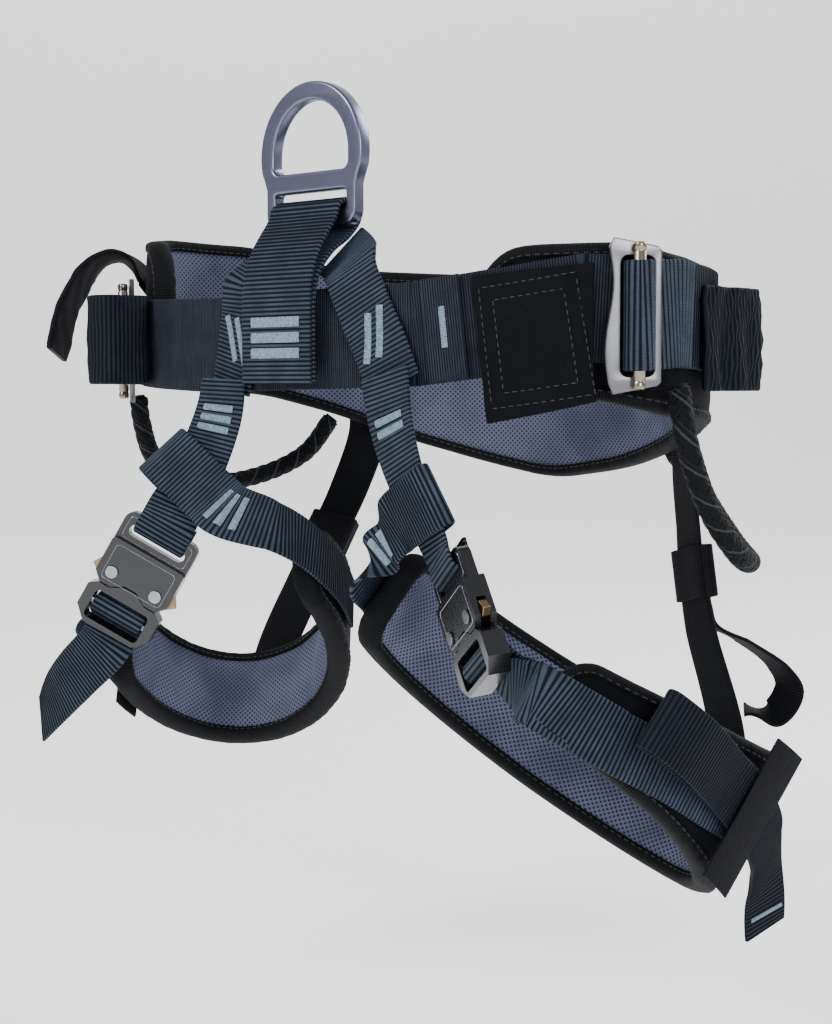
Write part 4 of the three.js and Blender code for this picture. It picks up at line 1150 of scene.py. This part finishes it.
KEEPER = {
    "R": dict(start=142, end=154, low=[(140, -25), (160, -25)], high=[(140, 22), (160, 22)], inner=3.4),
    "L": dict(
        start=-37, end=-21, low=[(-37, -31), (-21, -31)], high=[(-37, 29), (-21, 31)], inner=9.6, lean=-0.4
    ),
}
for tag, spec in KEEPER.items():
    keeper = strip(LEG[tag], thick=1.2, **spec)
    dress(f"leg_elastic_{tag}", keeper, ELASTIC, rib=0.08, pitch=1.1)
print("tail is", round(tail.length), "mm long")

# %% Rear risers, their keepers and tails
REAR = {
    "R": dict(
        waist=-140,
        top=-30,
        leg=77,
        edge=28,
        free=[(-110, 84, -80), (-108.5, 66, -104), (-107, 47, -130)],
        tail=[(-104, 59, -133), (-98, 63, -140)],
    ),
    "L": dict(
        waist=142,
        top=-44,
        leg=42,
        edge=33,
        free=[(109, 96, -88), (113, 94, -112), (119.5, 92, -137)],
        tail=[(131, 110, -144), (144, 122, -157), (148, 126, -168), (142, 121, -180), (131, 113, -178)],
    ),
}


def keeper_band(place, side, off, tall):
    """A short sewn loop round the two layers of a riser: a flat oval carried once round."""
    outline = [
        (-12.7, 1.4), (-12.7, 4.2), (-11, 5.1), (0, 5.1), (11, 5.1), (12.7, 4.2), (12.7, 1.4), (12.7, -1.4),
        (11, -2.3), (0, -2.3), (-11, -2.3), (-12.7, -1.4), (-12.7, 1.3),
    ]
    across = np.cross(side, off)
    points = [place + side * a + off * b for a, b in outline]
    return ribbon(points, [across] * len(points), tall, 1.3)


def rear_riser(tag):
    """From the waist pad to the leg pad, with a keeper round it and the free end beyond the keeper. A share of
    the way down, the across direction is waist_side * (1 - share ** 2) + leg_side * share ** 2."""
    spec, track = REAR[tag], LEG[tag]
    start = [BELT.at(spec["waist"], spec["top"], 1.6), BELT.at(spec["waist"], spec["top"] - 18, 1.8)]
    end = [track.at(spec["leg"], spec["edge"], 4), track.at(spec["leg"], spec["edge"] - 24, 1.8)]
    points = start + [vec(*p) for p in spec["free"]] + end
    waist_side = np.cross((0, 0, 1), BELT.outward(spec["waist"]))
    leg_side = np.cross(track.up, track.outward(spec["leg"]))
    leg_side = -leg_side if leg_side.dot(waist_side) < 0 else leg_side

    def turned(part):
        return waist_side * (1 - part**2) + leg_side * part**2

    bend = ("waist_belt", f"leg_loop_{tag}", points[1] * MM, points[5] * MM)
    for node in ("rear_riser", "riser_keeper", "riser_tail"):
        BENDS[f"{node}_{tag}"] = bend
    last = len(points) - 1
    band = ribbon(points, [turned(i / last) for i in range(last + 1)], 22, THIN)
    dress(f"rear_riser_{tag}", band, ELASTIC, rib=0.06, pitch=1.1)
    spot = len(start) + 1
    line = unit(points[spot + 1] - points[spot - 1])
    side = turned(spot / last)
    side = unit(side - line * side.dot(line))
    off = np.cross(line, side)
    loop = keeper_band(points[spot], side, off, 25)
    dress(f"riser_keeper_{tag}", loop, ELASTIC, rib=0.05, pitch=1.1)
    beside = ((-8, 2.8), (5, 2.8), (15, 3.2), (24, 6))
    in_keeper = [points[spot] + line * down + off * out for down, out in beside]
    route = in_keeper + [vec(*p) for p in spec["tail"]]
    held = spot / last
    share = [held if i < len(in_keeper) else held + (1 - held) * i / len(route) for i in range(len(route))]
    free_tail = ribbon(route, [turned(k) for k in share], 18, THIN)
    dress(f"riser_tail_{tag}", free_tail, ELASTIC, rib=0.06, pitch=1.1)
    return band


REARS = {tag: rear_riser(tag) for tag in "RL"}
print("rear risers are", [round(band.length) for band in REARS.values()], "mm long")

# %% [markdown]
# ## Gear loops
# A gear loop is a stiff braided cord. Its skin is a circle carried along a curve. The radius rises and falls
# with two sets of spirals, one to the right and one to the left, so that the strands pass over each other.

# %% Braided cord
GEAR_ROUTE = {
    "R": [
        (-76, -27.5, 6.6), (-77.5, -42, 5.5), (-84, -62, 2), (-99, -75, 0), (-114, -73, 1), (-126, -60, 4),
        (-132, -40, 6.6),
    ],
    "L": [
        (87, -21.5, 6.6), (89, -45, 9), (95, -74, 12), (103, -94, 17), (113, -100, 18),
        (126, -95, 14), (136, -83, 12), (144, -68, 11), (150, -54, 8), (154, -40, 6.8),
    ],
}


def gear_loop(tag, radius=4.7, strands=8, pitch=26.0):
    """radius + relief * the higher of sin(strands * angle + turns) and sin(strands * angle - turns)."""
    points = np.array([BELT.at(*place) for place in GEAR_ROUTE[tag]])
    curve = smooth_line(points, np.linspace(0, len(points) - 1, 400))
    lengths, s = even_steps(curve, 0.5)
    line = resample(lengths, s, curve)
    forward = unit(np.gradient(line, axis=0))
    first = unit(np.cross(forward, unit(line - np.array([0, 0, 400.0]))))
    second = np.cross(forward, first)
    sides = 40
    turn = np.linspace(0, 2 * np.pi, sides, endpoint=False)
    wind = s[:, None] * 2 * np.pi * strands / pitch / 2
    relief = np.maximum(np.sin(strands / 2 * turn + wind), np.sin(strands / 2 * turn - wind))
    shrink = np.clip(np.minimum(s, s[-1] - s) / 1.5, 0.75, 1)[:, None]
    reach = (radius + 0.28 * relief) * shrink
    around = first[:, None] * np.cos(turn)[:, None] + second[:, None] * np.sin(turn)[:, None]
    skin = line[:, None] + around * reach[..., None]
    uv = np.stack(np.broadcast_arrays(s[:, None], turn * radius), axis=-1).reshape(-1, 2)
    rings = len(s)
    caps = [range(sides)[::-1], range((rings - 1) * sides, rings * sides)]
    piece = make_mesh(f"gear_cord_{tag}", skin.reshape(-1, 3), ring_quads(rings, sides), BRAID, uv, caps)
    return attach(piece, f"gear_loop_{tag}"), s[-1]


for tag in "RL":
    print("gear loop", tag, "is", round(gear_loop(tag)[1]), "mm long")

# %% [markdown]
# ## Ring and adjusters
# The ring is cut from thick plate and tumbled, so its corners are round and even. A flat curve with holes,
# given a thickness and a round bevel, makes exactly that; it is turned into a mesh before it is put in place.

# %% Plates with holes
def arc(cx, cy, radius, start, end, count=24):
    """Points on part of a circle, between two angles in degrees."""
    turn = np.radians(np.linspace(start, end, count))
    return np.stack([cx + radius * np.cos(turn), cy + radius * np.sin(turn)], axis=1)


def rounded(left, bottom, right, top, radius):
    """A rectangle with quarter circles at its corners."""
    return np.concatenate([
        arc(right - radius, bottom + radius, radius, -90, 0, 8),
        arc(right - radius, top - radius, radius, 0, 90, 8),
        arc(left + radius, top - radius, radius, 90, 180, 8),
        arc(left + radius, bottom + radius, radius, 180, 270, 8),
    ])


def plate(name, outlines, thick, bevel, paint, place):
    """A flat plate: closed outlines, the first outside and the rest holes, with every corner rounded by bevel.
    place turns its points in millimetres into places on the object."""
    curve = bpy.data.curves.new(name, "CURVE")
    curve.dimensions = "2D"
    curve.fill_mode = "BOTH"
    curve.extrude = thick / 2 - bevel
    curve.bevel_depth = bevel
    curve.bevel_resolution = 3
    curve.offset = -bevel
    for outline_points in outlines:
        spline = curve.splines.new("POLY")
        spline.points.add(len(outline_points) - 1)
        flat = np.zeros((len(outline_points), 4))
        flat[:, :2] = outline_points
        flat[:, 3] = 1
        spline.points.foreach_set("co", flat.ravel())
        spline.use_cyclic_u = True
    holder = bpy.data.objects.new(name, curve)
    mesh = bpy.data.meshes.new_from_object(holder)
    bpy.data.objects.remove(holder)
    points = np.empty(len(mesh.vertices) * 3)
    mesh.vertices.foreach_get("co", points)
    mesh.vertices.foreach_set("co", (place(points.reshape(-1, 3)) * MM).ravel())
    return finish_metal(name, mesh, paint)


def finish_metal(name, mesh, paint, width=0.0, angle=30):
    """Merges a metal part's corners, rounds its edges if a width is given, and shades it smooth between."""
    clean = bpy.data.meshes.new(name)
    solid = bmesh.new()
    solid.from_mesh(mesh)
    bmesh.ops.remove_doubles(solid, verts=solid.verts, dist=2e-6)
    if width:
        bmesh.ops.dissolve_limit(solid, angle_limit=math.radians(1), verts=solid.verts, edges=solid.edges)
    bmesh.ops.recalc_face_normals(solid, faces=solid.faces)
    for edge in solid.edges:
        edge.smooth = len(edge.link_faces) == 2 and edge.calc_face_angle(0) < math.radians(angle)
    for face in solid.faces:
        face.smooth = True
    solid.to_mesh(clean)
    solid.free()
    clean.materials.clear()
    clean.materials.append(paint)
    piece = bpy.data.objects.new(name, clean)
    bpy.context.scene.collection.objects.link(piece)
    if width:
        bevel = piece.modifiers.new("worn edges", "BEVEL")
        bevel.width = width * MM
        bevel.segments = 3
        bevel.limit_method = "ANGLE"
        bevel.angle_limit = math.radians(28)
        bevel.harden_normals = True
    return piece


def tie_in_ring():
    """Outside: a half circle on a straight-sided base. Inside: a half-round eye, and a slot for the strap."""
    base, crown = RING["axis"] - RING["bar"], RING["crown"]
    half, outer, inner = RING["half_base"], RING["outer"], RING["inner"]
    outside = np.concatenate([
        arc(half - 7, base + 7, 7, -90, 0, 10),
        [(half, crown - 15), (half + 1.4, crown - 11), (outer - 0.8, crown - 7)],
        arc(0, crown, outer, -8, 188, 72),
        [(-outer + 0.8, crown - 7), (-half - 1.4, crown - 11), (-half, crown - 15)],
        arc(-half + 7, base + 7, 7, 180, 270, 10),
    ])
    eye = np.concatenate([
        arc(inner - 4, crown - 4, 4, -90, 0, 8),
        arc(0, crown, inner, 0, 180, 60),
        arc(-inner + 4, crown - 4, 4, 180, 270, 8),
    ])
    slot = rounded(-23.5, RING["axis"] + RING["bar"], 23.5, crown - 17, 2)

    def place(p):
        return np.stack([p[:, 0], RING["y"] - p[:, 2], p[:, 1]], axis=1)

    ring = plate("ring_forged", [outside, eye, slot], RING["thick"], 1.3, RING_METAL, place)
    return attach(ring, "tie_in_ring")


def adjuster(tag):
    """A steel frame whose front edge is a sine wave, so that a finger can lift it."""
    turn = ADJUSTER_TURN[tag]
    z = BELT.outward(turn)
    x = np.cross((0, 0, 1), z)
    at = BELT.at(turn, ADJUSTER_HEIGHT[tag], ADJUSTER_OUT)
    front = -1 if turn > 0 else 1
    t = np.linspace(0, 1, 40)
    wavy = np.stack([front * (12 + 1.6 * np.sin(t * 2 * np.pi)), -28 + 56 * t], axis=1)
    corners = [(10, 32), (-8.4, 28.6), (-10, 27), (-10, -27), (-8.4, -28.6), (10, -32)]
    outside = np.concatenate([wavy, [(front * a, b) for a, b in corners]])
    hole = rounded(-7, -24.5, 7, 24.5, 3)

    def place(p):
        return at + p[:, :1] * x + p[:, 1:2] * vec(0, 0, 1) + p[:, 2:] * z

    steel = plate(f"adjuster_plate_{tag}", [outside, hole], 2.8, 0.6, STEEL, place)
    return attach(steel, f"adjuster_frame_{tag}")


def turned_bar(name, node, centre, axis, radius, half, paint):
    """A turned rod: a profile of radii, with rounded ends and a shallow groove, carried round its axis."""
    tip = 0.01
    steps = [(0, radius - tip), (0, 0.7), (0.5, 0.15), (1.1, 0), (3, 0), (3.3, 0.3), (3.9, 0.3), (4.2, 0)]
    profile = [(a - half, radius - cut) for a, cut in steps]
    profile = np.array(profile + [(-a, r) for a, r in profile[::-1]])
    sides = 32
    turn = np.linspace(0, 2 * np.pi, sides, endpoint=False)
    axis = unit(vec(*axis))
    first = unit(np.cross(axis, (0.3, 0.5, 0.81)))
    second = np.cross(axis, first)
    around = first * np.cos(turn)[:, None] + second * np.sin(turn)[:, None]
    points = centre + axis * profile[:, :1, None].transpose(0, 2, 1) + around * profile[:, 1][:, None, None]
    rings = len(profile)
    caps = [range(sides)[::-1], range((rings - 1) * sides, rings * sides)]
    skin = make_mesh(name, points.reshape(-1, 3), ring_quads(rings, sides), paint, None, caps)
    return attach(skin, node)


tie_in_ring()
for tag in "RL":
    adjuster(tag)
    bar_at = BELT.at(ADJUSTER_TURN[tag], ADJUSTER_HEIGHT[tag], ADJUSTER_OUT + 4.4)
    turned_bar(f"adjuster_rod_{tag}", f"adjuster_bar_{tag}", bar_at, (0, 0, 1), 2.6, 30, BRASS)
print("ring and adjusters are made")

# %% [markdown]
# ## Buckles
# The buckle bodies, tongues, levers and rivets have their true shapes in the frame already. Each gets a copy
# with its corners merged and its edges rounded, because a sharp edge never catches a highlight.

# %% Buckle parts
def worked(node, paint, width):
    """A copy of a metal part with rounded edges, standing for it."""
    return attach(finish_metal(f"{node}_worked", NODES[node].data, paint, width), node)


def outline_groove(tag, y0, y1, half, z):
    """A fine bright line let into the face of a buckle, as a thin raised wire round a rounded rectangle."""
    shape = rounded(-half, y0, half, y1, 2.0)
    shape = np.concatenate([shape, shape[:1]])
    lengths, s = even_steps(shape, 0.7)
    flat = resample(lengths, s, shape)
    line = BUCKLE[tag].place(0, 0, z) + flat[:, :1] * BUCKLE[tag].x + flat[:, 1:] * BUCKLE[tag].y
    return line, np.broadcast_to(BUCKLE[tag].z, line.shape)


for tag in "RL":
    worked(f"buckle_body_{tag}", BUCKLE_BLACK, 0.6)
    worked(f"buckle_tongue_{tag}", BUCKLE_BLACK, 0.6)
    worked(f"tongue_bar_{tag}", BRIGHT, 0.25)
    for end in ("inner", "outer"):
        worked(f"release_lever_{end}_{tag}", BRONZE, 0.3)
        worked(f"buckle_rivet_{end}_{tag}", BRIGHT, 0.3)
    spring = NODES[f"buckle_spring_{tag}"].data
    spring.materials.clear()
    spring.materials.append(BRIGHT)
    lines = [outline_groove(tag, -4.2, 13.2, 15.6, 5.0), outline_groove(tag, 16.8, 27.6, 16.4, 2.6)]
    sew(f"buckle_lines_{tag}", f"buckle_body_{tag}", lines, 0.16, BRIGHT)
print("buckles are worked")

# %% [markdown]
# ## Floor, light and camera
# A pale floor well below the hanging harness, a pale wall behind it, a large soft light on each side and one
# from behind, so that the black cloth has bright rims.

# %% Studio
def studio():
    """A sheet of paper: a floor 50 mm below the lowest part, a quarter circle, and a wall facing the camera."""
    low = cad_box[0][2] - 0.05
    t = np.linspace(0, 1, 24)
    sweep = np.concatenate([
        np.stack([np.linspace(-6, 2.6, 8), np.full(8, low)], axis=1),
        np.stack([2.6 + 1.4 * np.sin(t * np.pi / 2), low + 1.4 - 1.4 * np.cos(t * np.pi / 2)], axis=1)[1:],
        np.stack([np.full(4, 4.0), np.linspace(low + 2, low + 6, 4)], axis=1),
    ])
    view = math.radians(43)
    toward = vec(-math.sin(view), math.cos(view), 0)
    sideways = vec(math.cos(view), math.sin(view), 0)
    rows = toward * sweep[:, :1] + vec(0, 0, 1) * sweep[:, 1:]
    points = np.concatenate([rows - sideways * 7, rows + sideways * 7])
    n = len(rows)
    k = np.arange(n - 1)
    quads = np.stack([k, k + n, k + n + 1, k + 1], axis=1)
    mesh = bpy.data.meshes.new("paper_sweep")
    mesh.from_pydata(points.tolist(), [], quads.tolist())
    mesh.polygons.foreach_set("use_smooth", np.ones(len(mesh.polygons), bool))
    glow = dict(Emission_Color=(1, 1, 1, 1), Emission_Strength=0.6)
    paper = Paint("paper", color=(0.9, 0.9, 0.91), Roughness=0.9, **glow)
    mesh.materials.append(paper.material)
    floor = bpy.data.objects.new("paper_sweep", mesh)
    bpy.context.scene.collection.objects.link(floor)


def area_light(name, place, target, size, power, color=(1, 1, 1)):
    data = bpy.data.lights.new(name, "AREA")
    data.shape = "DISK"
    data.size = size
    data.energy = power
    data.color = color
    lamp = bpy.data.objects.new(name, data)
    bpy.context.scene.collection.objects.link(lamp)
    lamp.location = place
    lamp.rotation_mode = "QUATERNION"
    lamp.rotation_quaternion = (Vector(target) - Vector(place)).to_track_quat("-Z", "Y")
    return lamp


def world_light(color, strength):
    world = bpy.data.worlds.new("studio air")
    world.use_nodes = True
    bpy.context.scene.world = world
    air = world.node_tree.nodes["Background"]
    air.inputs["Color"].default_value = (*color, 1)
    air.inputs["Strength"].default_value = strength


studio()
HEART = (0.01, 0.0, -0.08)
area_light("key", (-0.6, -1.7, 1.3), HEART, 0.9, 42)
area_light("side", (1.9, -1.0, 0.6), HEART, 1.0, 34, (0.93, 0.96, 1))
area_light("rim", (0.6, 1.7, 1.2), HEART, 1.0, 38, (0.93, 0.95, 1))
world_light((0.95, 0.97, 1), 0.6)


def camera():
    """Seen from 43 degrees to the wearer's left of the front, and 4 degrees above the belt."""
    data = bpy.data.cameras.new("camera")
    data.lens = 64.05
    data.sensor_width = 36
    cam = bpy.data.objects.new("camera", data)
    bpy.context.scene.collection.objects.link(cam)
    eye, aim = Vector((0.6093, -0.63213, -0.02161)), Vector((0.0106, 0.00989, -0.083))
    cam.location = eye
    cam.rotation_mode = "QUATERNION"
    cam.rotation_quaternion = (aim - eye).to_track_quat("-Z", "Y")
    bpy.context.scene.camera = cam
    return cam


camera()
